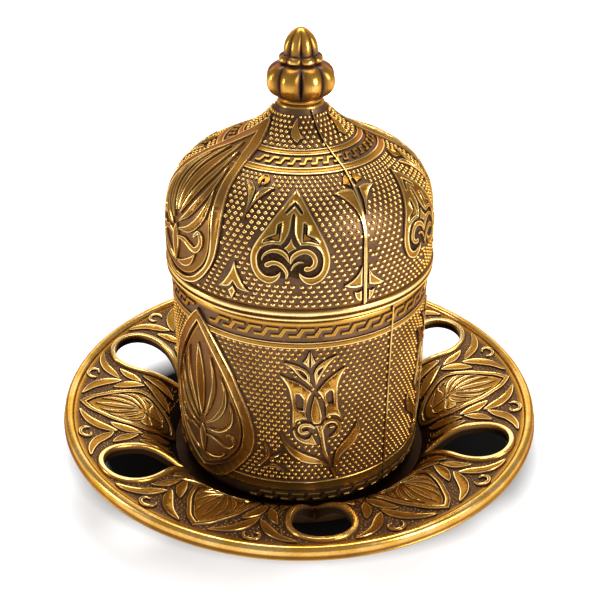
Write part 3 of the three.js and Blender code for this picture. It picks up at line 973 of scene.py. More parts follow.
RING_SIDE = ((0.0, -0.15, 0.0), (0.03, 0.5, 0.1), (0.08, 0.95, 1.0), (0.15, 1.0, 1.0), (0.23, 0.76, 0.5))


def ring_section(profile: Profile, low: float, high: float, height: float = 0.42) -> Section:
    """Draws the section of a raised ring with two bright edges.

    Args:
        profile: The outline that the ring stands on.
        low: Where it starts along the outline, in millimetres.
        high: Where it ends.
        height: How far it stands out.

    Returns:
        Radius, height and wear of each point.
    """
    far_side = [(1 - share, rise, rubbed) for share, rise, rubbed in reversed(RING_SIDE)]
    section = []
    for share, rise, rubbed in (*RING_SIDE, *far_side):
        place, normal = profile.at_length(low + (high - low) * share)
        spot = place + normal * height * rise
        section.append((spot.x, spot.y, rubbed))
    return section


def key_pattern(pitch: float, rise: float, line: float) -> Motif:
    """Draws one unit of the running key border: a bar, a slant up and a longer bar over the next unit."""
    low, high = -rise / 2, rise / 2
    lower = (-0.42 * pitch, low), (0.12 * pitch, low)
    upper = (0.40 * pitch, high), (1.05 * pitch, high)
    half = line / 2
    spots = [
        (lower[0][0], low - half), (lower[1][0] + half, low - half), (upper[0][0] + half, high - half),
        (upper[1][0], high - half), (upper[1][0], high + half), (upper[0][0] - half, high + half),
        (lower[1][0] - half, low + half), (lower[0][0], low + half),
    ]
    return raised(*spots, height=0.45, sink=0.0, rim=0.05, edge=Wear.BRIGHT, face=0.56)


def lean(motifs: Iterable[Motif], low: float, high: float, shift: float) -> list[Motif]:
    """Leans motifs sideways, as the worn mould does.

    Args:
        motifs: The motifs.
        low: The height under which the shift is whole.
        high: The height at which there is none.
        shift: The shift in millimetres.

    Returns:
        The same motifs.
    """
    leaned = list(motifs)
    for motif in leaned:
        for outline in (motif.outline, *motif.holes, motif.silhouette or ()):
            for spot in outline:
                spot.x += shift * min(max((high - spot.y) / (high - low), 0.0), 1.0)
    return leaned


def palmette() -> list[Motif]:
    """Draws the lid's spade-shaped palmette, which opens at the bottom round two scrolls."""
    side = ((0, 27.9), (2.3, 24.7), (4.0, 22.1), (6.1, 18.7), (7.9, 15.5), (8.7, 13.2), (8.8, 11.4),
            (8.45, 9.6), (7.3, 7.6), (5.8, 6.6), (4.4, 6.3), (3.0, 7.0), (2.1, 8.2), (2.0, 9.4))
    lobe = ((2.7, 8.7), (4.0, 8.2), (5.5, 8.4), (6.7, 9.6), (7.1, 11.2), (7.1, 12.6), (6.5, 14.0),
            (5.4, 14.9), (3.8, 15.3), (2.1, 15.2))
    groove = ((1.2, 16.4), (0.5, 18.2), (0.27, 21.4), (0, 22.0))
    chevron = both_sides(((0, 24.7), (1.3, 23.5), (2.35, 22.2)), (2.2, 21.3), ((1.1, 22.4), (0, 23.6)))
    corner = leaf(((2.6, 19.9), (2.6, 17.0), (2.7, 16.2)), ((4.3, 16.2), (6.3, 15.6)),
                  ((5.4, 16.5), (3.9, 17.2), (3.4, 17.4)), (3.4, 19.4))
    other = mirror(corner)
    heart = both_sides(side[:11], ((2.0, 6.9), (0, 7.4)))
    body = Motif(both_sides(side, lobe, groove), [shrunk(chevron, 0.18), corner, other], silhouette=heart)
    thin = {"rim": 0.12, "sink": 0.05, "height": 0.5}
    return [
        Patch(shrunk(heart, 0.6), height=0.07),
        body,
        *[Motif(shrunk(hole, 0.42), rim=0.05, sink=0.0, edge=Wear.FACE) for hole in (corner, other)],
        raised(((0, 16.9), (0.6, 15.6), (1.5, 14.6)), ((0.5, 14.2), (-0.3, 13.5)),
               ((-0.8, 14.2), (-1.5, 14.6)), ((-0.6, 15.6), (0, 16.9)), **thin),
        stroke((0.1, 11.2, 0.3), (0.5, 12.5, 1.0), (1.2, 13.3, 1.2), (2.4, 13.9, 1.25), (3.7, 14.0, 1.25),
               (4.9, 13.3, 1.25), (5.5, 12.1, 1.2), (5.3, 10.9, 1.15), (4.5, 10.2, 1.1), (3.6, 10.1, 1.3),
               **thin),
        stroke((0.25, 9.7, 0.25), (0.9, 10.9, 0.5), (2.0, 11.6, 0.55), (3.0, 11.55, 0.2), **thin),
        stroke((-0.2, 11.7, 0.3), (-0.8, 12.9, 1.0), (-2.0, 13.8, 1.15), (-3.6, 14.0, 1.0),
               (-5.0, 13.5, 0.75), (-5.9, 12.6, 0.5), (-6.3, 11.5, 0.15), **thin),
        stroke((-5.0, 10.7, 1.3), (-3.7, 11.3, 1.15), (-2.4, 11.1, 1.1), (-1.3, 10.2, 1.0),
               (-0.6, 8.9, 0.8), (-0.9, 7.6, 0.2), **thin),
    ]


def upper_sprig() -> list[Motif]:
    """Draws the two-leaved sprig that stands above and beside the palmette."""
    return [
        raised(((-4.85, 28.8), (-2.98, 28.6), (-1.44, 27.8), (-0.45, 26.7)), ((-0.4, 24.3), (-0.98, 19.5)),
               ((-1.11, 22.9), (-1.66, 24.6), (-2.54, 26.2), (-3.86, 27.8), (-4.85, 28.8))),
        raised(((5.05, 27.8), (3.62, 27.8), (1.86, 27.4), (0.76, 26.6), (0.0, 25.2)),
               ((-0.1, 23.6), (-0.67, 21.1)),
               ((0.1, 22.7), (0.98, 24.2), (2.08, 25.5), (3.62, 26.8), (5.05, 27.8))),
        raised(((-1.11, 29.1), (-0.67, 30.1), (0.21, 31.0), (1.2, 31.2), (2.19, 30.7), (2.85, 29.7)),
               ((2.3, 28.8), (1.31, 28.2)), ((1.3, 29.2), (0.8, 30.1)), ((0.25, 29.2), (0.21, 27.8)),
               ((-0.5, 28.3), (-1.11, 29.1)), rim=0.1, edge=Wear.BRIGHT),
    ]


def lower_arrow() -> list[Motif]:
    """Draws the arrow with a diamond under it that stands below the sprig."""
    return [
        raised(((0.32, 10.3), (-0.12, 9.2), (-0.78, 7.7), (-1.66, 6.2), (-2.76, 4.6), (-3.86, 3.4)),
               ((-2.1, 3.6), (-0.9, 4.1), (-0.08, 5.4)),
               ((0.43, 4.6), (1.2, 3.8), (2.52, 3.5), (4.17, 3.6)),
               ((2.96, 4.2), (1.86, 5.7), (0.98, 7.7), (0.32, 10.3))),
        raised(((-0.2, 4.3), (0.5, 2.9)), (-0.45, 0.9), (-1.4, 3.0)),
    ]


def seam_sprig() -> list[Motif]:
    """Draws the tall flower that the mould's seam runs through."""
    return [
        raised(((-6.22, 26.1), (-4.19, 26.8), (-2.48, 26.9), (-0.99, 26.7), (-0.03, 26.1)),
               ((0.03, 22.9), (0.1, 18.4), (-0.25, 12.8), (-0.3, 6.0), (-0.2, 0.2)), (-1.1, 0.2),
               ((-1.2, 9.6), (-1.1, 12.8), (-0.67, 18.0), (-1.31, 21.3), (-2.27, 23.0), (-3.55, 24.5),
                (-5.04, 25.6), (-6.22, 26.1))),
        raised(((7.44, 26.6), (6.05, 27.0), (4.34, 27.3), (2.85, 27.1), (2.0, 26.9)),
               ((1.78, 25.6), (1.57, 23.5), (1.25, 22.0), (0.93, 20.4)),
               ((1.46, 21.3), (2.21, 22.8), (3.28, 24.1), (4.77, 25.4), (7.44, 26.6))),
        raised(((-2.27, 28.1), (-1.84, 29.2), (-0.35, 30.6)), ((0.08, 29.7), (-0.24, 27.2)),
               ((-1.2, 28.0), (-2.27, 28.1)), rim=0.1, edge=Wear.BRIGHT),
        raised(((2.32, 30.4), (3.06, 30.7), (4.34, 30.1), (5.09, 28.7)), ((3.49, 28.5), (2.2, 27.9)),
               ((2.1, 29.2), (2.32, 30.4)), rim=0.1, edge=Wear.BRIGHT),
        raised(((-1.52, 9.4), (-2.27, 7.9), (-3.76, 6.4), (-5.79, 5.3)),
               ((-4.19, 4.6), (-2.27, 4.4), (-1.45, 4.6))),
        raised(((0.1, 8.5), (1.14, 7.0), (2.64, 5.6), (4.24, 4.3)), ((3.06, 4.0), (1.57, 4.2), (0.2, 4.7))),
        raised(((-3.34, 3.4), (-2.38, 3.2), (-1.52, 3.5)), (-1.5, 1.0),
               ((-2.3, 1.0), (-3.02, 1.9), (-3.34, 3.4))),
        raised(((0.2, 3.4), (0.85, 3.0), (1.7, 3.3)), ((1.46, 2.2), (0.8, 1.2), (0.2, 0.8))),
    ]


def crown_leaf() -> list[Motif]:
    """Draws the small curved leaf above the lid's rings, round the line of the palmette."""
    return [
        raised(((-5.2, 45.2), (-3.0, 46.9), (-0.6, 47.7)), ((-0.2, 45.6), (1.9, 43.6), (4.6, 42.5)),
               ((1.9, 42.1), (-0.2, 41.1)), ((-3.1, 42.1), (-4.9, 43.6), (-5.2, 45.2)), face=0.62),
    ]


def lid_medallion() -> list[Motif]:
    """Draws the lid's great drop-shaped medallion with a symmetrical spray of leaves."""
    outer = both_sides(((0, 46.3), (2.37, 45.9), (5.37, 44.2), (7.36, 42.6), (9.36, 40.6), (10.5, 39.0),
                        (12.1, 31.9), (13.0, 27.3), (14.0, 23.3), (14.8, 20.0), (15.2, 16.6), (15.2, 14.0),
                        (14.7, 10.6), (13.7, 8.0), (12.0, 5.3), (10.0, 3.0), (7.4, 1.2), (4.0, 0.2),
                        (0, 0.0)))
    inner = both_sides(((0, 41.9), (2.7, 39.6), (4.7, 37.6), (6.4, 34.9), (8.4, 31.9), (9.7, 27.3),
                        (11.0, 22.6), (12.0, 18.6), (12.8, 15.0), (13.0, 12.6), (12.7, 10.0), (11.4, 7.0),
                        (9.7, 5.0), (7.4, 3.0), (4.0, 1.6), (0, 1.1)))
    return [*medallion_plate(outer, inner), *fan(38.0, 2.6, 1.0, 1.0, 0.9)]


def medallion_plate(outer: Outline, inner: Outline) -> list[Motif]:
    """Draws a medallion's raised border and, inside a groove, its smooth plate."""
    plate = Motif(shrunk(inner, 0.6), height=0.42, rim=0.16, sink=0.06, edge=Wear.BRIGHT, face=Wear.DULL)
    return [Motif(outer, [inner], height=0.8, rim=0.22, sink=0.14, face=0.4), plate]


def fan(top: float, bottom: float, width: float, line: float, height: float = 0.72) -> list[Motif]:
    """Draws a symmetrical fan of seven blades over scrolls and petals, to fill a drop-shaped plate.

    Args:
        top: The height of its tip.
        bottom: The height of its foot.
        width: How wide it is, as a share of the lid's.
        line: How wide its blades are, as a share of the lid's.
        height: How far it stands out.

    Returns:
        Its motifs.
    """
    look = {"rim": 0.14, "sink": 0.12, "height": height, "face": 0.42}

    def spot(x: float, share: float) -> tuple[float, float]:
        """Returns a point, its height given as a share of the fan's."""
        return (x * width, bottom + (top - bottom) * share)

    def band(hand: int, *run: tuple[float, float, float]) -> Motif:
        """Draws one blade, scroll or petal on one side."""
        return stroke(*[(*spot(hand * x, share), wide * line) for x, share, wide in run], **look)

    def bud(*run: tuple[float, float]) -> Motif:
        """Draws a shape on the middle line from its right side, narrowed as the blades are."""
        slim = (1 + line) / 2
        return Motif(both_sides([spot(x * slim, share) for x, share in run]), **look)

    made = [
        bud((0, 1.0), (1.3, 0.86), (1.9, 0.7), (1.5, 0.53), (0.6, 0.41), (0, 0.38)),
        bud((0, 0.3), (1.2, 0.24), (1.4, 0.16), (0.6, 0.07), (0, 0.03)),
    ]
    for hand in HANDS:
        made += [
            band(hand, (1.1, 0.38, 0.5), (3.0, 0.5, 1.9), (4.6, 0.66, 2.1), (4.7, 0.8, 1.3),
                 (4.0, 0.92, 0.2)),
            band(hand, (1.6, 0.33, 0.5), (5.0, 0.42, 1.9), (7.6, 0.55, 2.1), (8.1, 0.68, 1.3),
                 (7.2, 0.79, 0.2)),
            band(hand, (1.8, 0.28, 0.5), (6.0, 0.32, 1.9), (9.1, 0.41, 2.1), (9.9, 0.51, 1.3),
                 (9.4, 0.6, 0.2)),
            band(hand, (1.0, 0.22, 0.5), (4.2, 0.23, 1.3), (8.2, 0.2, 1.5), (10.2, 0.26, 1.3),
                 (9.3, 0.32, 1.1), (7.9, 0.29, 0.8)),
            band(hand, (0.8, 0.05, 0.5), (3.4, 0.06, 1.6), (6.2, 0.1, 1.8), (8.4, 0.17, 0.2)),
        ]
    return made


def holder_medallion() -> list[Motif]:
    """Draws the holder's medallion: a broad pointed drop round a spray."""
    outer = both_sides(((0, 52.2), (2.4, 49.7), (5.0, 46.4), (7.2, 43.2), (10.1, 38.4), (12.2, 33.7),
                        (14.0, 29.4), (15.1, 25.7), (15.7, 22.5), (15.7, 19.6), (15.0, 16.7), (13.7, 14.1),
                        (12.2, 12.0), (10.1, 9.4), (7.2, 6.5), (3.8, 4.9), (0, 4.5)))
    inner = both_sides(((0, 49.0), (2.4, 45.7), (5.0, 41.7), (7.2, 38.1), (9.0, 34.5), (10.4, 31.2),
                        (11.5, 28.3), (12.4, 25.4), (12.8, 22.1), (12.6, 19.6), (11.9, 16.7), (10.1, 13.8),
                        (7.9, 11.2), (5.0, 9.1), (2.4, 7.6), (0, 6.6)))
    return [*medallion_plate(outer, inner), *fan(43.0, 9.0, 1.0, 0.62, 0.85)]


def tulip() -> list[Motif]:
    """Draws the holder's tulip: a crown, two petals, two curls, a stem and two long leaves."""
    petal = leaf(((-7.5, 40.5), (-5.7, 39.6), (-3.8, 38.8), (-2.1, 37.7), (-0.1, 35.8)),
                 ((-0.7, 34.6), (-1.2, 32.6), (-1.5, 30.4), (-1.2, 28.1)),
                 ((-2.4, 28.2), (-3.5, 27.6), (-4.1, 26.2)),
                 ((-4.5, 25.8), (-4.7, 28.7), (-4.7, 31.8), (-5.0, 34.3), (-5.7, 37.4), (-7.5, 40.5)))
    window = leaf(((-3.8, 35.4), (-3.1, 35.4), (-2.1, 34.0)), (-2.1, 30.7), (-3.5, 31.0),
                  ((-3.8, 33.2), (-3.8, 35.4)))
    far_petal = leaf(((7.7, 41.9), (6.0, 41.0), (4.4, 39.9), (2.7, 38.2), (1.1, 36.0)),
                     ((1.8, 34.9), (2.7, 32.9), (3.1, 30.7), (3.2, 28.4)),
                     ((4.6, 28.9), (6.0, 28.3), (7.6, 26.1)),
                     ((7.0, 28.4), (6.3, 30.7), (6.0, 33.2), (5.9, 36.0), (6.3, 38.8), (7.7, 41.9)))
    far_window = leaf(((3.2, 35.2), (4.3, 36.0), (4.8, 34.3), (4.9, 32.1)), (3.7, 32.2),
                      ((3.2, 33.8), (3.2, 35.2)))
    sprout = leaf(((-6.6, 44.0), (-4.9, 43.7), (-3.2, 43.1), (-1.8, 42.2), (-0.8, 40.8), (-0.5, 38.8),
                   (0.3, 37.0)), ((-1.2, 38.5), (-2.6, 39.9), (-3.8, 41.3), (-4.6, 42.4), (-6.6, 44.0)))
    sprout_hole = leaf(((-3.6, 42.3), (-2.4, 41.8), (-1.4, 40.5), (-1.35, 39.5)),
                       ((-2.3, 40.4), (-3.6, 42.3)))
    far_sprout = leaf(((5.5, 45.4), (3.5, 44.7), (1.8, 43.7), (0.7, 42.4), (0.3, 41.0), (0.4, 39.6),
                       (0.8, 37.7)), ((1.1, 38.5), (1.8, 40.2), (2.7, 41.9), (3.8, 43.6), (5.5, 45.4)))
    far_hole = leaf(((2.4, 42.7), (2.0, 41.6), (1.4, 40.6)), ((1.05, 41.0), (1.3, 41.9), (2.4, 42.7)))
    curl = {"rim": 0.16, "sink": 0.08, "face": 0.66, "height": 0.7}
    leafy = {"face": 0.64, "height": 0.7}
    return [
        raised(((-0.8, 47.1), (-1.5, 45.2), (-2.3, 44.1)), ((-1.0, 42.9), (-0.85, 42.6)), **leafy),
        raised(((-0.5, 47.0), (0.1, 45.2), (0.7, 44.1)), ((0.0, 43.4), (-0.4, 42.6)), **leafy),
        Motif(sprout, [sprout_hole], **curl),
        Motif(far_sprout, [far_hole], **curl),
        Motif(petal, [window], **leafy),
        Motif(far_petal, [far_window], **leafy),
        raised(((0.5, 34.9), (1.3, 33.5), (1.8, 31.5), (2.3, 28.7), (2.0, 26.8)),
               ((0.4, 26.8), (-0.3, 28.7), (-0.3, 31.0), (0.5, 34.9)), **leafy),
        raised(((0.7, 26.2), (1.3, 24.8), (2.0, 22.0), (2.4, 19.2), (3.0, 16.9), (4.6, 13.8)),
               ((4.6, 15.2), (3.8, 17.8), (3.2, 20.6), (2.8, 24.0), (2.4, 26.2)), **leafy),
        raised(((-4.5, 24.8), (-3.8, 22.6), (-2.1, 21.2), (-0.4, 20.7), (1.3, 20.6)),
               ((0.7, 22.0), (0, 23.7)), ((-0.7, 22.5), (-2.1, 22.4), (-3.4, 23.6), (-4.0, 25.4)), **curl),
        stroke((0.5, 25.6, 0.6), (-0.7, 26.4, 1.05), (-2.2, 26.4, 1.1), (-2.9, 25.3, 1.05),
               (-2.4, 24.2, 0.95), (-1.1, 24.4, 0.9), silhouette=arc((-1.5, 25.2), 1.8), **curl),
        stroke((2.5, 25.0, 0.6), (2.9, 26.4, 1.05), (4.4, 27.2, 1.2), (6.0, 26.5, 1.2), (6.6, 24.8, 1.2),
               (5.8, 23.1, 1.05), (4.4, 22.4, 0.4), silhouette=arc((4.6, 24.9), 2.4), **curl),
        stroke((4.3, 25.4, 0.7), (4.8, 25.5, 1.1), (5.2, 25.4, 0.7), **curl),
        raised(((-7.4, 24.1), (-6.6, 22.3), (-5.2, 20.3), (-3.2, 18.8), (-1.0, 17.5), (1.3, 16.4),
                (3.5, 14.6), (4.4, 12.9)), ((3.2, 13.9), (1.8, 14.5), (-0.7, 15.0), (-2.9, 15.8),
                                            (-4.9, 17.5), (-6.3, 19.8), (-7.4, 24.1)), sink=0.2, **leafy),
        raised(((11.2, 25.9), (11.9, 23.7), (11.9, 22.0), (11.1, 20.0), (9.7, 18.4), (8.0, 17.0),
                (6.9, 15.3), (6.4, 12.4)), (5.2, 13.4),
               ((5.5, 15.8), (6.0, 17.8), (7.4, 19.8), (9.1, 21.7), (10.5, 23.8), (11.2, 25.9)), sink=0.2,
               **leafy),
        raised(((4.6, 12.9), (5.2, 10.8), (5.7, 9.3)), (7.0, 9.3), ((6.7, 11.4), (6.2, 12.4))),
    ]


def foot_sprig() -> list[Motif]:
    """Draws the small sprig low down between the holder's medallion and tulip."""
    return [
        raised(((-0.2, 20.5), (1.0, 18.1), (1.15, 16.3), (-0.4, 14.1)), ((-1.2, 13.0), (-2.4, 12.7)),
               ((-1.5, 14.1), (-0.25, 15.7), (0.1, 17.9), (-0.2, 20.5))),
        stroke((1.4, 16.0, 0.5), (2.8, 16.8, 0.8), (4.2, 18.0, 0.12)),
        raised(((-0.3, 13.1), (1.7, 14.3), (3.5, 13.4), (4.6, 12.1)), ((2.8, 13.1), (-0.3, 13.1))),
    ]


def saucer_panel() -> list[Motif]:
    """Draws one of the saucer's six panels: a pointed cartouche between mirrored sickle leaves."""
    outer = both_sides(((0, 58.6), (3, 56), (4.9, 52.8), (6.5, 49.9), (7.4, 47.3), (8.2, 44.3), (8.5, 43)),
                       ((8, 40.3), (6.3, 37.7), (4.3, 35.7), (2, 34.4), (0, 34.2)))
    inner = both_sides(((0, 56.9), (2.2, 54.9), (3.9, 52.1), (5.4, 49.3), (6.3, 47.0), (7.0, 44.3),
                        (7.3, 43)), ((6.9, 40.9), (5.5, 38.6), (3.8, 36.7), (1.7, 35.6), (0, 35.4)))
    line = {"rim": 0.14, "sink": 0.08, "height": 0.5, "lattice": 3.2}
    made = [
        Motif(outer, [inner], **line, silhouette=outer),
        Motif(shrunk(inner, 0.45), height=0.25, rim=0.1, sink=0.04, edge=Wear.BRIGHT),
        *fan(54.6, 36.8, 0.56, 0.52, 0.5),
    ]
    sickles = [
        leaf(((3.8, 58.2), (7, 57), (9.4, 55.2), (10.9, 53), (11.6, 50.6), (11.5, 48.4)),
             ((10.2, 50.2), (8.7, 52.8), (6.8, 55.5), (3.8, 58.2))),
        leaf(((23.2, 53.8), (21, 54.4), (18.4, 54.3), (15.8, 53.3), (14, 51.6), (12.4, 49.2)),
             ((14.3, 49.9), (15.8, 50.9), (17.8, 52.4), (20.5, 53.4), (23.2, 53.8))),
        leaf(((8.2, 50.1), (9.7, 48.8), (11, 46.7), (11.3, 44.5), (10.9, 42.4)),
             ((9.7, 44.4), (8.7, 47.2), (8.2, 50.1))),
        leaf(((16.5, 48.9), (14.5, 47.9), (13, 46.2), (12.2, 43.2)),
             ((14.2, 44.8), (15.3, 46.7), (16.5, 48.9))),
        leaf(((12.4, 42.2), (10.6, 40.6), (8.4, 38.6), (6.8, 35.9)),
             ((8.9, 36.4), (11.2, 38.3), (12.4, 42.2))),
        leaf(((14.6, 42.4), (13.3, 40.0), (12.6, 37.4), (12.2, 34.9)),
             ((14.0, 36.0), (15.0, 38.4), (14.6, 42.4))),
    ]
    arch = ((11.5, 55.2, 0.4), (11.5, 56.3, 0.9), (12.5, 57.2, 0.95), (14.2, 57.1, 0.95), (15.2, 55.9, 0.9),
            (14.8, 54.7, 0.8), (13.7, 54.6, 0.4))
    for hand in HANDS:
        made += [Motif(shrunk(mirror(sickle, hand), -0.32), **line) for sickle in sickles]
        made.append(stroke(*[(hand * x, y, width) for x, y, width in arch], **line))
    return made


@dataclass
class Lid:
    """The tall domed lid. Turns and gaps are in degrees, from a medallion."""

    radius: float = 32.3
    bottom: float = 58.7
    band_top: float = 61.7
    band_bright: float = 32.98
    side_top: float = 68.5
    side_taper: float = 0.2
    crown_radius: float = 18.3
    crown_height: float = 88.8
    collar_radius: float = 5.6
    collar_height: float = 98.4
    wall: float = 1.6
    skirt_inner: float = 30.4
    ledge_inner: float = 26.9
    ledge_bottom: float = 60.0
    ledge_height: float = 1.6
    hollow_top_radius: float = 7.0
    lower_ring: tuple[float, float] = (31.9, 34.0)
    upper_ring: tuple[float, float] = (37.7, 39.4)
    upper_ring_gap: float = 18.0
    key_length: float = 3.9
    key_radius: float = 25.0
    key_rise: float = 35.85
    key_gap: float = 20.5
    palmette_turn: float = 59.2
    sprig_turn: float = 38.5
    arrow_turn: float = 34.2
    crown_turn: float = 57.5
    seams: tuple[float, float] = (-61.5, 118.5)
    medallions: tuple[float, float] = (-151.5, 28.5)

    def slope(self) -> list[Vector]:
        """Returns the outside of the lid from its band to its collar."""
        band = Vector((self.radius, self.band_top))
        side = Vector((self.radius - self.side_taper, self.side_top))
        crown = Vector((self.crown_radius, self.crown_height))
        neck = Vector((self.collar_radius, self.collar_height))
        return [
            *[band.lerp(side, share / 6) for share in range(6)],
            *bezier(side, crown, (0.01, 0.59, 0.27, 0.79), 28),
            *bezier(crown, neck, (0.43, 0.25, 0.8, 0.5), 18)[1:],
        ]

    def sheet(self) -> WrappedSheet:
        """Returns the surface that the lid's ornament lies on."""
        return WrappedSheet(Profile(self.slope()), self.radius)

    def shell_section(self) -> Section:
        """Returns the closed section of the lid's wall, without its finial."""
        band = smooth(((32.3, 58.7), (32.9, 58.85), (33.05, 59.2), (32.95, 59.6), (32.5, 59.85),
                       (32.95, 60.12), (33.15, 60.6), (33.1, 61.1), (32.85, 61.5), (32.3, 61.72)), 0.2)
        slope = self.slope()
        hollow = [spot for spot in beside(slope[6:], -self.wall) if spot.x > self.hollow_top_radius]
        wall_inner = self.radius - self.wall
        under = [
            (wall_inner, self.ledge_bottom + wall_inner - self.ledge_inner),
            (self.ledge_inner, self.ledge_bottom + self.ledge_height),
            (self.ledge_inner, self.ledge_bottom),
            (self.skirt_inner, self.ledge_bottom),
            (self.skirt_inner, self.bottom),
        ]
        return [
            *[(spot.x, spot.y, 0.95 if spot.x > self.band_bright else Wear.DULL) for spot in band],
            *worn(slope[1:], Wear.RECESS),
            (0, self.collar_height, Wear.RECESS),
            (0, hollow[-1].y, Wear.DULL),
            *worn([*reversed(hollow), *under], Wear.DULL),
        ]

    def build(self, brass: bpy.types.Material) -> None:
        """Builds the lid's shell, rings, ornament and beads."""
        sheet = self.sheet()
        shell = Piece("lid_shell", "lid", Slot.LID)
        shell.spin(self.shell_section(), steps=180, closed=True)
        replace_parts(shell.finish(brass), "lid")
        relief = Piece("lid_relief", "lid", Slot.LID)
        relief.spin(ring_section(sheet.profile, *self.lower_ring), steps=180, closed=True)
        upper_ring = ring_section(sheet.profile, *self.upper_ring)
        relief.half_rings(upper_ring, self.medallions, self.upper_ring_gap)
        places = self.places()
        relief.lay(sheet, places)
        relief.finish(brass)
        axes = [medallion + hand * self.palmette_turn for medallion in self.medallions for hand in HANDS]
        dots = Piece("lid_beads", "lid", Slot.LID)
        side = Dots(1.78, rows=1.16, low=0.9, high=31.1, size=(1.36, 1.06, 0.52), stagger=0.36, margin=0.5)
        crown = Dots(4.6, rows=1.25, low=40.4, high=48.6, size=(3.8, 1.14, 0.6), margin=0.8)
        for beads in (side, crown):
            dots.scatter(bead_mesh(beads.size), bead_frames(sheet, beads, places, axes))
        dots.finish(brass, sharp=80)

    def places(self) -> list[Place]:
        """Returns where every motif of the lid goes."""
        groups = (
            (lean(palmette(), 14.0, 27.9, -1.2), self.palmette_turn),
            (upper_sprig(), self.sprig_turn),
            (lower_arrow(), self.arrow_turn),
            (crown_leaf(), self.crown_turn),
        )
        drop, flower = lid_medallion(), seam_sprig()
        key = [key_pattern(self.key_length, 1.5, 0.6)]
        step = math.degrees(self.key_length / self.key_radius)
        places = []
        for medallion in self.medallions:
            places.append(Place(drop, medallion))
            places += either_side(medallion, groups)
            places += key_border(key, medallion, step, self.key_gap, self.key_rise)
        path = ((-1.7, 0.1), (-1.5, 10), (-0.95, 20), (0, 30), (0.25, 33), (-0.3, 37), (-2.0, 45))
        ridge = [seam_ridge((*path, (-2.8, 49.2)), 0.6, 0.66)]
        for seam in self.seams:
            places += [Place(flower, seam - 1.5), Place(ridge, seam)]
        return places


@dataclass
class Finial:
    """The lid's finial: a collar, a lobed melon, a ring and a pointed bud whose ribs fade out."""

    melon_foot: float = 100.1
    melon_height: float = 7.5
    melon_radius: float = 4.2
    melon_swell: float = 4.0
    melon_roundness: float = 0.9
    melon_groove: float = 0.26
    ring_foot: float = 107.5
    bud_foot: float = 109.8
    bud_height: float = 5.8
    bud_radius: float = 4.1
    bud_groove: float = 0.28
    lobes: int = 8
    lobe_roundness: float = 0.5
    groove_shade: float = 4.5
    least_wear: float = 0.05

    def collar(self) -> list[Spot]:
        """Returns the collar's section, each point with radius, height, depth of its grooves and wear."""
        return [
            (5.6, 97.0, 0.0, 0.6), (5.6, 98.3, 0.0, 0.7), (5.45, 98.75, 0.0, 0.8), (4.9, 99.0, 0.0, 0.3),
            (5.2, 99.4, 0.0, 0.6), (4.9, 100.0, 0.0, 0.3), (4.4, 100.3, 0.05, 0.15),
        ]

    def melon(self) -> list[Spot]:
        """Returns the melon's section in the same way."""
        made = []
        for number in range(1, 25):
            turn = math.pi * number / 24
            bulge = math.sin(turn)
            radius = self.melon_radius + self.melon_swell * bulge ** self.melon_roundness
            height = self.melon_foot + self.melon_height * (1 - math.cos(turn)) / 2
            made.append((radius, height, self.melon_groove * bulge, 0.12 + 0.68 * bulge))
        return made

    def ring(self) -> list[Spot]:
        """Returns the section of the ring over the melon."""
        rises = ((4.3, 0.2, 0.06, 0.1), (4.95, 0.5, 0.18, 0.4), (5.25, 1.0, 0.2, 0.85),
                 (5.1, 1.5, 0.2, 0.8), (4.6, 1.9, 0.15, 0.35), (3.9, 2.15, 0.06, 0.1))
        return [(radius, self.ring_foot + rise, groove, wear) for radius, rise, groove, wear in rises]

    def bud(self) -> list[Spot]:
        """Returns the bud's section, its points closer together near the tip."""
        made = []
        for number in range(21):
            share = (number / 20) ** 0.8
            radius = self.bud_radius * max(1 - share ** 2.2, 0) ** 0.7
            height = self.bud_foot + self.bud_height * share
            made.append((radius, height, self.bud_groove * (1 - share) ** 0.6, min(0.2 + share * 2, 0.75)))
        return made

    def build(self, brass: bpy.types.Material) -> None:
        """Turns the section and presses the grooves between the lobes into it."""
        part = bmesh.new()
        wear = part.verts.layers.float.new("wear")
        depth = part.verts.layers.float.new("depth")
        section = [*self.collar(), *self.melon(), *self.ring(), *self.bud()]
        for radius, height, groove, rubbed in section:
            vert = part.verts.new(Vector((radius, 0, height)) * MM)
            vert[wear] = rubbed
            vert[depth] = groove
        verts = list(part.verts)
        edges = [part.edges.new(pair) for pair in zip(verts, verts[1:])]
        edges.append(part.edges.new((verts[0], part.verts.new((0, 0, section[0][1] * MM)))))
        parts = [*part.verts, *edges]
        bmesh.ops.spin(part, geom=parts, axis=(0, 0, 1), angle=math.tau, steps=128, use_merge=True)
        bmesh.ops.remove_doubles(part, verts=part.verts, dist=1e-7)
        for vert in part.verts:
            angle = math.atan2(vert.co.y, vert.co.x) + math.pi / self.lobes
            swell = abs(math.cos(self.lobes / 2 * angle)) ** self.lobe_roundness
            dip = vert[depth] * (1 - swell)
            vert.co.x *= 1 - dip
            vert.co.y *= 1 - dip
            vert[wear] = max(self.least_wear, vert[wear] - self.groove_shade * dip)
        bmesh.ops.recalc_face_normals(part, faces=part.faces)
        part.verts.layers.float.remove(depth)
        made = Piece("lid_finial", "lid", Slot.LID)
        made.take(part)
        made.finish(brass, sharp=70)


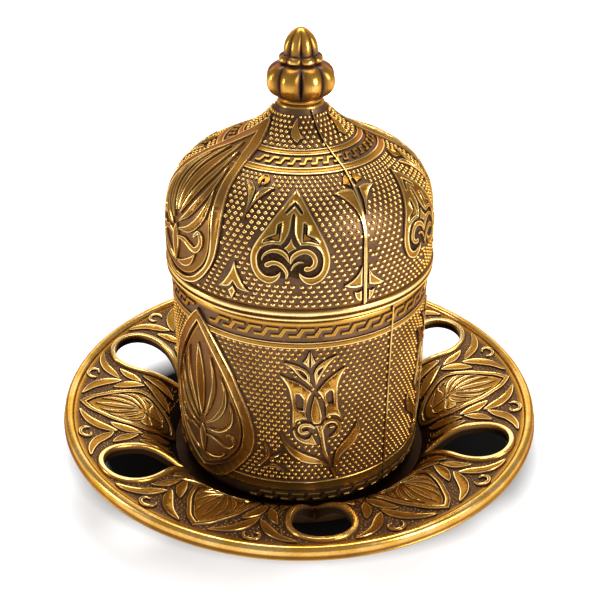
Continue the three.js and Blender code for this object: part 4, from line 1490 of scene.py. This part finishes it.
def bead_frames(
    sheet: WrappedSheet, dots: Dots, places: Sequence[Place], axes: Sequence[float] = ()
) -> list[Matrix]:
    """Works out where the beads of a field stand.

    Args:
        sheet: The surface.
        dots: The field.
        places: The motifs that the beads keep clear of.
        axes: Lines, in degrees, on whose two sides the rows are set off opposite ways.

    Returns:
        One frame for each bead.
    """
    around = round(math.tau * sheet.radius / dots.pitch)
    frames = []
    for row in range(int((dots.high - dots.low) / dots.rows) + 1):
        y = dots.low + row * dots.rows
        for number in range(around):
            angle = 360 * number / around
            nearest = min(((angle - axis + 180) % 360 - 180 for axis in axes), key=abs, default=1)
            shift = -math.copysign(1, nearest) * row * dots.stagger
            # Rows set off by half a bead just alternate.
            if dots.stagger == 0.5:
                shift = 0.5 * (row % 2)
            angle += 360 * (shift % 1) / around
            if clear_of(places, sheet, angle, y, dots.margin):
                stand = sheet.upright(angle, 0, y)
                narrowing = stand.translation.xy.length / MM / sheet.radius
                frames.append(stand @ Matrix.Diagonal((narrowing, 1, 1, 1)))
    return frames


def clear_of(places: Sequence[Place], sheet: WrappedSheet, angle: float, y: float, margin: float) -> bool:
    """Returns whether a point of a sheet lies clear of every motif."""
    for place in places:
        x = math.radians((angle - place.angle + 180) % 360 - 180) * sheet.radius
        if abs(x) > WIDEST:
            continue
        if place.mirrored:
            x = -x
        if any(motif.covers(x, y - place.rise, margin) for motif in place.motifs):
            return False
    return True


@dataclass
class Holder:
    """The straight brass cup round the porcelain. Turns and gaps are in degrees, from a medallion."""

    radius: float = 31.6
    wall: float = 1.7
    bottom: float = 3.5
    floor_top: float = 5.3
    top: float = 57.9
    corner_reach: float = 3.6
    corner_height: float = 5.4
    inner_corner: float = 3.0
    foot_ring: tuple[float, float] = (6.0, 9.1)
    foot_ring_gap: float = 11.0
    upper_ring: tuple[float, float] = (47.6, 49.3)
    upper_ring_gap: float = 4.5
    key_length: float = 4.0
    foot_key_rise: float = 4.0
    foot_key_gap: float = 22.0
    upper_key_rise: float = 51.8
    upper_key_gap: float = 5.0
    tulip_turn: float = 53.5
    sprig_turn: float = 33.2
    seams: tuple[float, float] = (-48.5, 131.5)
    medallions: tuple[float, float] = (-138.5, 41.5)

    def corner(self) -> list[Vector]:
        """Returns the rounded foot, from below upwards."""
        return quarter(
            Vector((self.radius - self.corner_reach, self.bottom)),
            Vector((self.radius, self.bottom)),
            Vector((self.radius, self.bottom + self.corner_height)),
            12,
        )

    def sheet(self) -> WrappedSheet:
        """Returns the surface that the holder's ornament lies on. It reads its height above the bottom."""
        corner = self.corner()
        length = sum((b - a).length for a, b in zip(corner, corner[1:]))
        top = Vector((self.radius, self.top))
        side = [corner[-1].lerp(top, share / 20) for share in range(1, 21)]
        return WrappedSheet(Profile([*corner, *side], length - self.corner_height), self.radius)

    def build(self, brass: bpy.types.Material) -> None:
        """Builds the holder's shell, rings, ornament and beads."""
        sheet = self.sheet()
        inner = self.radius - self.wall
        lip = smooth((
            (self.radius, self.top - 0.7), (self.radius - 0.15, self.top - 0.2),
            (self.radius - 0.6, self.top), (inner + 0.5, self.top), (inner, self.top - 0.5),
        ), 0.25)
        bowl = quarter(
            Vector((inner, self.floor_top + self.inner_corner)),
            Vector((inner, self.floor_top)),
            Vector((inner - self.inner_corner, self.floor_top)),
        )
        side = [Vector((self.radius, self.bottom + height)) for height in range(9, 54, 4)]
        shell = Piece("holder_shell", "cup_holder", Slot.HOLDER)
        section = [
            (0, self.bottom, Wear.DULL),
            *worn([*self.corner(), *side], Wear.RECESS),
            *worn(lip, Wear.BRIGHT),
            *worn([*bowl, (0, self.floor_top)], Wear.DULL),
        ]
        shell.spin(section, steps=180)
        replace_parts(shell.finish(brass), "cup_holder")
        relief = Piece("holder_relief", "cup_holder", Slot.HOLDER)
        rings = ((self.foot_ring, self.foot_ring_gap), (self.upper_ring, self.upper_ring_gap))
        for ring, gap in rings:
            relief.half_rings(ring_section(sheet.profile, *ring), self.medallions, gap)
        places = self.places()
        relief.lay(sheet, places)
        relief.finish(brass)
        dots = Piece("holder_beads", "cup_holder", Slot.HOLDER)
        beads = Dots(pitch=1.62, rows=1.2, low=10.0, high=47.2, size=(1.24, 1.02, 0.5), margin=0.5)
        dots.scatter(bead_mesh(beads.size, tip_wear=0.9), bead_frames(sheet, beads, places))
        dots.finish(brass, sharp=80)

    def places(self) -> list[Place]:
        """Returns where every motif of the holder goes."""
        groups = ((tulip(), self.tulip_turn), (foot_sprig(), self.sprig_turn))
        drop = holder_medallion()
        key = [key_pattern(self.key_length, 1.8, 0.72)]
        step = math.degrees(self.key_length / self.radius)
        places = []
        for medallion in self.medallions:
            places.append(Place(drop, medallion))
            places += either_side(medallion, groups)
            places += key_border(key, medallion, step, self.upper_key_gap, self.upper_key_rise)
            places += key_border(key, medallion, step, self.foot_key_gap, self.foot_key_rise)
        ridge = [seam_ridge(((0, 3.2), (0.1, 20), (0, 40), (0.2, 54)), 0.48, 0.55)]
        return places + [Place(ridge, seam) for seam in self.seams]


@dataclass
class Saucer:
    """The broad dish with its raised rim and six openings."""

    radius: float = 62.5
    wall: float = 1.8
    foot_height: float = 1.5
    foot_radius: float = 30.0
    foot_width: float = 2.6
    well_top: float = 3.5
    well_radius: float = 34.0
    # Painted shade in the well: inside this radius the ground is darkest, and it reaches its plain patina 4
    # mm further out.
    well_shade: float = 37.0
    shoulder_radius: float = 46.6
    shoulder_height: float = 15.1
    rim_radius: float = 59.7
    rim_height: float = 18.1
    bead: float = 1.25
    bead_wear: float = 0.82
    openings: int = 6
    opening_tip: float = 36.9
    opening_end: float = 57.3
    opening_width: float = 14.1
    first_opening: float = -84.5
    cutter: tuple[float, float] = (5.0, 25.0)
    stipple_bead: Spot = (0.52, 0.52, 0.24)
    stipple_start: float = 36.2
    stipple_rings: int = 23
    stipple_pitch: float = 1.1
    stipple_jitter: float = 0.25
    stipple_margin: float = 0.35

    def turns(self, share: float = 0.0) -> list[float]:
        """Returns each opening's angle in degrees, moved on by a share of the step between them."""
        step = 360 / self.openings
        return [self.first_opening + step * (number + share) for number in range(self.openings)]

    def top(self) -> list[Vector]:
        """Returns the upper side, from the edge of the well to the rim bead."""
        foot = Vector((self.well_radius, self.well_top))
        crest = Vector((self.shoulder_radius, self.shoulder_height))
        rim = Vector((self.rim_radius, self.rim_height))
        return [
            *bezier(foot, crest, (0.175, 0.29, 0.515, 0.905), 20),
            *[crest.lerp(rim, share / 10) for share in range(1, 11)],
        ]

    def sheet(self) -> PlanSheet:
        """Returns the surface that the saucer's ornament lies on."""
        return PlanSheet(Profile(self.top()))

    def slope_wear_and_shade(self, radius: float) -> float:
        """Returns the wear of the ground at a radius, with painted shade: it is darkest down in the well.
        """
        return Wear.RECESS * min(max(radius - self.well_shade, 0) / 4, 1)

    def teardrop(self, grow: float = 0.0) -> Outline:
        """Draws an opening in plan, its tip towards the saucer's middle, x sideways and y outwards."""
        middle = (self.opening_end + self.opening_tip) / 2
        half = (self.opening_end - self.opening_tip) / 2
        broad = self.opening_width / 2 * 3 * math.sqrt(3) / 4
        plain = [
            Vector((-broad * math.sin(turn) * math.cos(turn / 2), middle + half * math.cos(turn)))
            for turn in (math.tau * number / 96 - math.pi for number in range(96))
        ]
        if area(plain) < 0:
            plain.reverse()
        return [spot - way * grow for spot, way in zip(plain, inward(plain))]

    def dish(self, brass: bpy.types.Material) -> None:
        """Turns the dish and cuts its openings."""
        top = self.top()
        rim = top[-1]
        bead = arc((rim.x + self.bead, rim.y - 0.2), self.bead, range(-20, 181, 20))
        under = [spot for spot in beside(top, self.wall) if spot.y > self.foot_height and spot.x < rim.x]
        inner = self.foot_radius - self.foot_width
        foot = (
            (0, self.foot_height), (inner, self.foot_height), (inner, 0),
            (self.foot_radius, 0), (self.foot_radius, self.foot_height),
        )
        slope = [(spot.x, spot.y, self.slope_wear_and_shade(spot.x)) for spot in reversed(top[:-1])]
        section = [
            *worn([*foot, *under], Wear.DULL),
            (61.6, 15.9, Wear.FACE),
            (62.4, 16.2, Wear.BRIGHT),
            (62.5, 16.6, Wear.BRIGHT),
            (62.2, 17.0, Wear.DULL),
            *worn(bead, self.bead_wear),
            *slope,
            # Painted shade: the well's floor takes the darkest wear.
            *worn([(radius, self.well_top) for radius in (24, 12, 0)], Wear.DEEP),
        ]
        shell = Piece("saucer_dish", "saucer", Slot.SAUCER)
        shell.spin(section, steps=240)
        made = shell.finish(brass)
        self._pierce(made)
        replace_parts(made, "saucer")

    def _pierce(self, dish: bpy.types.Object) -> None:
        """Cuts the openings out of the finished dish."""
        cutter = bmesh.new()
        for angle in self.turns():
            turned = Matrix.Rotation(math.radians(angle) - math.pi / 2, 3, "Z")
            low, high = (level * MM for level in self.cutter)
            spots = [turned @ spot.to_3d() * MM for spot in self.teardrop()]
            face = cutter.faces.new([cutter.verts.new((spot.x, spot.y, low)) for spot in spots])
            grown = bmesh.ops.extrude_face_region(cutter, geom=[face])["geom"]
            tops = [item for item in grown if isinstance(item, bmesh.types.BMVert)]
            bmesh.ops.translate(cutter, verts=tops, vec=(0, 0, high - low))
        bmesh.ops.recalc_face_normals(cutter, faces=cutter.faces)
        tool = placed("cutter", finished(cutter, "cutter"))
        cut = dish.modifiers.new("openings", "BOOLEAN")
        cut.object = tool
        cut.operation = "DIFFERENCE"
        cut.solver = "EXACT"
        graph = bpy.context.evaluated_depsgraph_get()
        pierced = bpy.data.meshes.new_from_object(dish.evaluated_get(graph), depsgraph=graph)
        dish.modifiers.clear()
        dish.data = pierced
        bpy.data.objects.remove(tool)

    def lips(self, piece: Piece, sheet: PlanSheet) -> None:
        """Adds the rolled lip round each opening."""
        lip = RolledLip(self.teardrop(1.5), [self.teardrop(-0.15)], height=0.85)
        piece.lay(sheet, [Place([lip], angle) for angle in self.turns()])

    def build(self, brass: bpy.types.Material) -> None:
        """Builds the dish, its lips, its ornament and its stipple."""
        self.dish(brass)
        sheet = self.sheet()
        relief = Piece("saucer_relief", "saucer", Slot.SAUCER)
        self.lips(relief, sheet)
        panel = saucer_panel()
        relief.lay(sheet, [Place(panel, angle) for angle in self.turns(-0.5)])
        relief.finish(brass)
        stipple = Piece("saucer_stipple", "saucer", Slot.SAUCER)
        stipple.scatter(bead_mesh(self.stipple_bead, Wear.BRIGHT), self.stipple_frames(sheet, panel))
        stipple.finish(brass, sharp=80)

    def stipple_frames(self, sheet: PlanSheet, panel: Sequence[Motif]) -> list[Matrix]:
        """Works out where the fine beads of the ground stand, between the ornament."""
        frames = []
        step = 360 / self.openings
        jitter = self.stipple_jitter
        hole = self.teardrop(1.7)
        dice = random.Random(7)
        for row in range(self.stipple_rings):
            ring = self.stipple_start + row
            around = round(math.tau * ring / self.stipple_pitch / self.openings)
            for number in range(around):
                radius = ring + dice.uniform(-jitter, jitter)
                angle = (number + 0.5 * (row % 2) + dice.uniform(-jitter, jitter)) / around * step
                turn = math.radians(angle - step if angle > step / 2 else angle)
                if inside(hole, -radius * math.sin(turn), radius * math.cos(turn)):
                    continue
                middle = math.radians(angle - step / 2)
                x, y = radius * math.sin(middle), radius * math.cos(middle)
                if any(motif.covers(x, y, self.stipple_margin) for motif in panel):
                    continue
                frames += [sheet.upright(first + angle, 0, radius) for first in self.turns()]
        return frames


@dataclass
class Liner:
    """The porcelain cup inside the holder."""

    radius: float = 29.5
    wall: float = 2.4
    taper: float = 2.6
    corner: float = 8.0
    bottom: float = 5.33
    top: float = 60.0
    foot_radius: float = 17.0
    foot_width: float = 2.4
    foot_height: float = 1.4
    foot_bevel: float = 0.3

    def side(self, inset: float, floor: float) -> list[Vector]:
        """Returns one side of the wall, moved inwards by an inset, from its floor to its rim."""
        radius = self.radius - inset
        low = radius - self.taper
        corner = self.corner - inset / 2
        corner_top = Vector((low, floor + corner))
        rim = Vector((radius, self.top - self.wall / 2))
        return [
            *quarter(Vector((low - corner, floor)), Vector((low, floor)), corner_top, 12),
            *bezier(corner_top, rim, (0.4, 0.25, 1, 0.6), 16)[1:],
        ]

    def build(self, glaze: bpy.types.Material) -> None:
        """Turns the cup, with its foot ring and its rounded rim."""
        under = self.bottom + self.foot_height
        floor = under + self.wall
        half = self.wall / 2
        rim = arc((self.radius - half, self.top - half), half, range(15, 180, 15))
        inner, outer, bevel = self.foot_radius - self.foot_width, self.foot_radius, self.foot_bevel
        section = [
            (0, under), (inner, under), (inner, self.bottom + bevel), (inner + bevel, self.bottom),
            (outer - bevel, self.bottom), (outer, self.bottom + bevel), (outer, under),
            *self.side(0, under), *rim, *reversed(self.side(self.wall, floor)), (0, floor),
        ]
        piece = Piece("porcelain_liner", "porcelain_cup", Slot.PORCELAIN)
        piece.spin(worn(section, Wear.FACE), steps=144)
        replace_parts(piece.finish(glaze), "porcelain_cup")


@dataclass
class Studio:
    """A pale floor, soft light and the camera at the photograph's angle."""

    camera_place: Spot = (-2.68, -220.27, 171.6)
    camera_down: float = 29.73
    film_width: float = 36.0
    lens: float = 59.28
    shift: tuple[float, float] = (0.0185, -0.0006)
    lamp_aim: Spot = (0.0, 0.0, 0.06)
    walls: tuple[Spot, ...] = ((0.06, 0.62), (0.2, 0.44), (0.8, 0.36))
    floor_size: float = 6.0
    floor_white: float = 0.8
    floor_glow: float = 0.5
    # The painted shadow under the saucer: its grey, its middle and reach in millimetres, and where it fades
    # into the open floor.
    shade_black: float = 0.012
    shade_place: Spot = (2.0, 4.0, 0.0)
    shade_reach: Spot = (58.0, 44.0, 1.0)
    shade_edge: tuple[float, float] = (0.97, 1.18)

    def camera(self) -> None:
        """Sets the camera."""
        data = bpy.data.cameras.new("camera")
        data.sensor_width = self.film_width
        data.lens = self.lens
        data.shift_x, data.shift_y = self.shift
        data.clip_start = 0.01
        made = placed("camera", data)
        made.location = Vector(self.camera_place) * MM
        made.rotation_euler = (math.radians(90 - self.camera_down), 0, 0)
        bpy.context.scene.camera = made

    def floor(self) -> None:
        """Lays the floor: white to the camera and in reflections, with a painted shadow under the saucer,
        where its colour turns near black.
        """
        shape = bmesh.new()
        bmesh.ops.create_grid(shape, x_segments=1, y_segments=1, size=self.floor_size)
        data = finished(shape, "floor")
        shader = material_shader("pale_floor")
        seen = shader.node("ShaderNodeLightPath")
        camera = Number(shader, seen.outputs["Is Camera Ray"])
        mirrored = camera + Number(shader, seen.outputs["Is Glossy Ray"])
        white = mirrored + Number(shader, seen.outputs["Is Transmission Ray"])
        glow = shader.node("ShaderNodeEmission", {}, {"Color": (1, 1, 1, 1), "Strength": self.floor_glow})
        matt = shader.node("ShaderNodeBsdfDiffuse", {}, {"Color": grey(self.floor_white)})
        both = shader.node("ShaderNodeAddShader", {}, {0: glow.outputs[0], 1: matt.outputs[0]})
        open_floor = shader.blend(white, matt, both)
        # Painted shadow: a near-black floor colour stands in for the shade under the saucer.
        painted_shadow = shader.node("ShaderNodeBsdfDiffuse", {}, {"Color": grey(self.shade_black)})
        place = shader.node("ShaderNodeTexCoord").outputs["Object"]
        for operation, spot in (("SUBTRACT", self.shade_place), ("DIVIDE", self.shade_reach)):
            inputs = {0: place, 1: tuple(value * MM for value in spot)}
            place = shader.node("ShaderNodeVectorMath", {"operation": operation}, inputs).outputs[0]
        reach = shader.node("ShaderNodeVectorMath", {"operation": "LENGTH"}, {0: place})
        start, end = self.shade_edge
        clear = ((Number(shader, reach.outputs["Value"]) - start) * (1 / (end - start))).clamped()
        data.materials.append(shader.close(shader.blend(clear, painted_shadow, open_floor)))
        placed("floor", data)

    def lamp(self, name: str, place: Spot, size: tuple[float, float], power: float) -> None:
        """Hangs one soft box that looks at the cup.

        Args:
            name: Its name.
            place: Where it hangs, in metres.
            size: Its width and height, in metres.
            power: Its power in watts.
        """
        data = bpy.data.lights.new(name, "AREA")
        data.shape = "RECTANGLE"
        data.size, data.size_y = size
        data.energy = power
        made = placed(name, data)
        made.location = place
        made.rotation_euler = (Vector(self.lamp_aim) - Vector(place)).to_track_quat("-Z", "Y").to_euler()
        made.visible_camera = False

    def world(self) -> None:
        """Makes the room round the set: bright near the horizon and dimmer overhead."""
        shader = Shader(bpy.data.worlds.new("studio"))
        way = shader.node("ShaderNodeTexCoord").outputs["Generated"]
        height = Number(shader, shader.node("ShaderNodeSeparateXYZ", {}, {0: way}).outputs["Z"])
        walls = shader.ramp(height, [(share, grey(level)) for share, level in self.walls])
        room = shader.node("ShaderNodeBackground", {}, {"Color": walls, "Strength": 1.0})
        bpy.context.scene.world = shader.close(room)

    def build(self) -> None:
        """Sets up the whole studio."""
        self.camera()
        self.floor()
        self.world()
        self.lamp("left_box", place=(-0.6, -0.06, 0.22), size=(0.13, 0.24), power=1.0)
        self.lamp("right_box", place=(0.52, -0.36, 0.33), size=(0.32, 0.32), power=4.0)
        self.lamp("top_box", place=(0.0, 0.25, 0.7), size=(0.5, 0.3), power=3.3)
        self.lamp("back_box", place=(0.0, 0.6, 0.3), size=(0.9, 0.3), power=1.6)
        bpy.context.scene.view_settings.view_transform = "Standard"


def main() -> None:
    """Builds the set in order and reports each piece."""
    logging.basicConfig(level=logging.INFO, format="%(message)s")
    Studio().build()
    Saucer().build(WornBrass("worn_brass_saucer", tarnish=0.03).material())
    Holder().build(WornBrass("worn_brass_holder", recess=srgb(116, 88, 66)).material())
    Liner().build(Glaze("white_glaze").material())
    brass = WornBrass("worn_brass_lid", recess=srgb(104, 78, 59)).material()
    Lid().build(brass)
    Finial().build(brass)


if __name__ == "__main__":
    main()
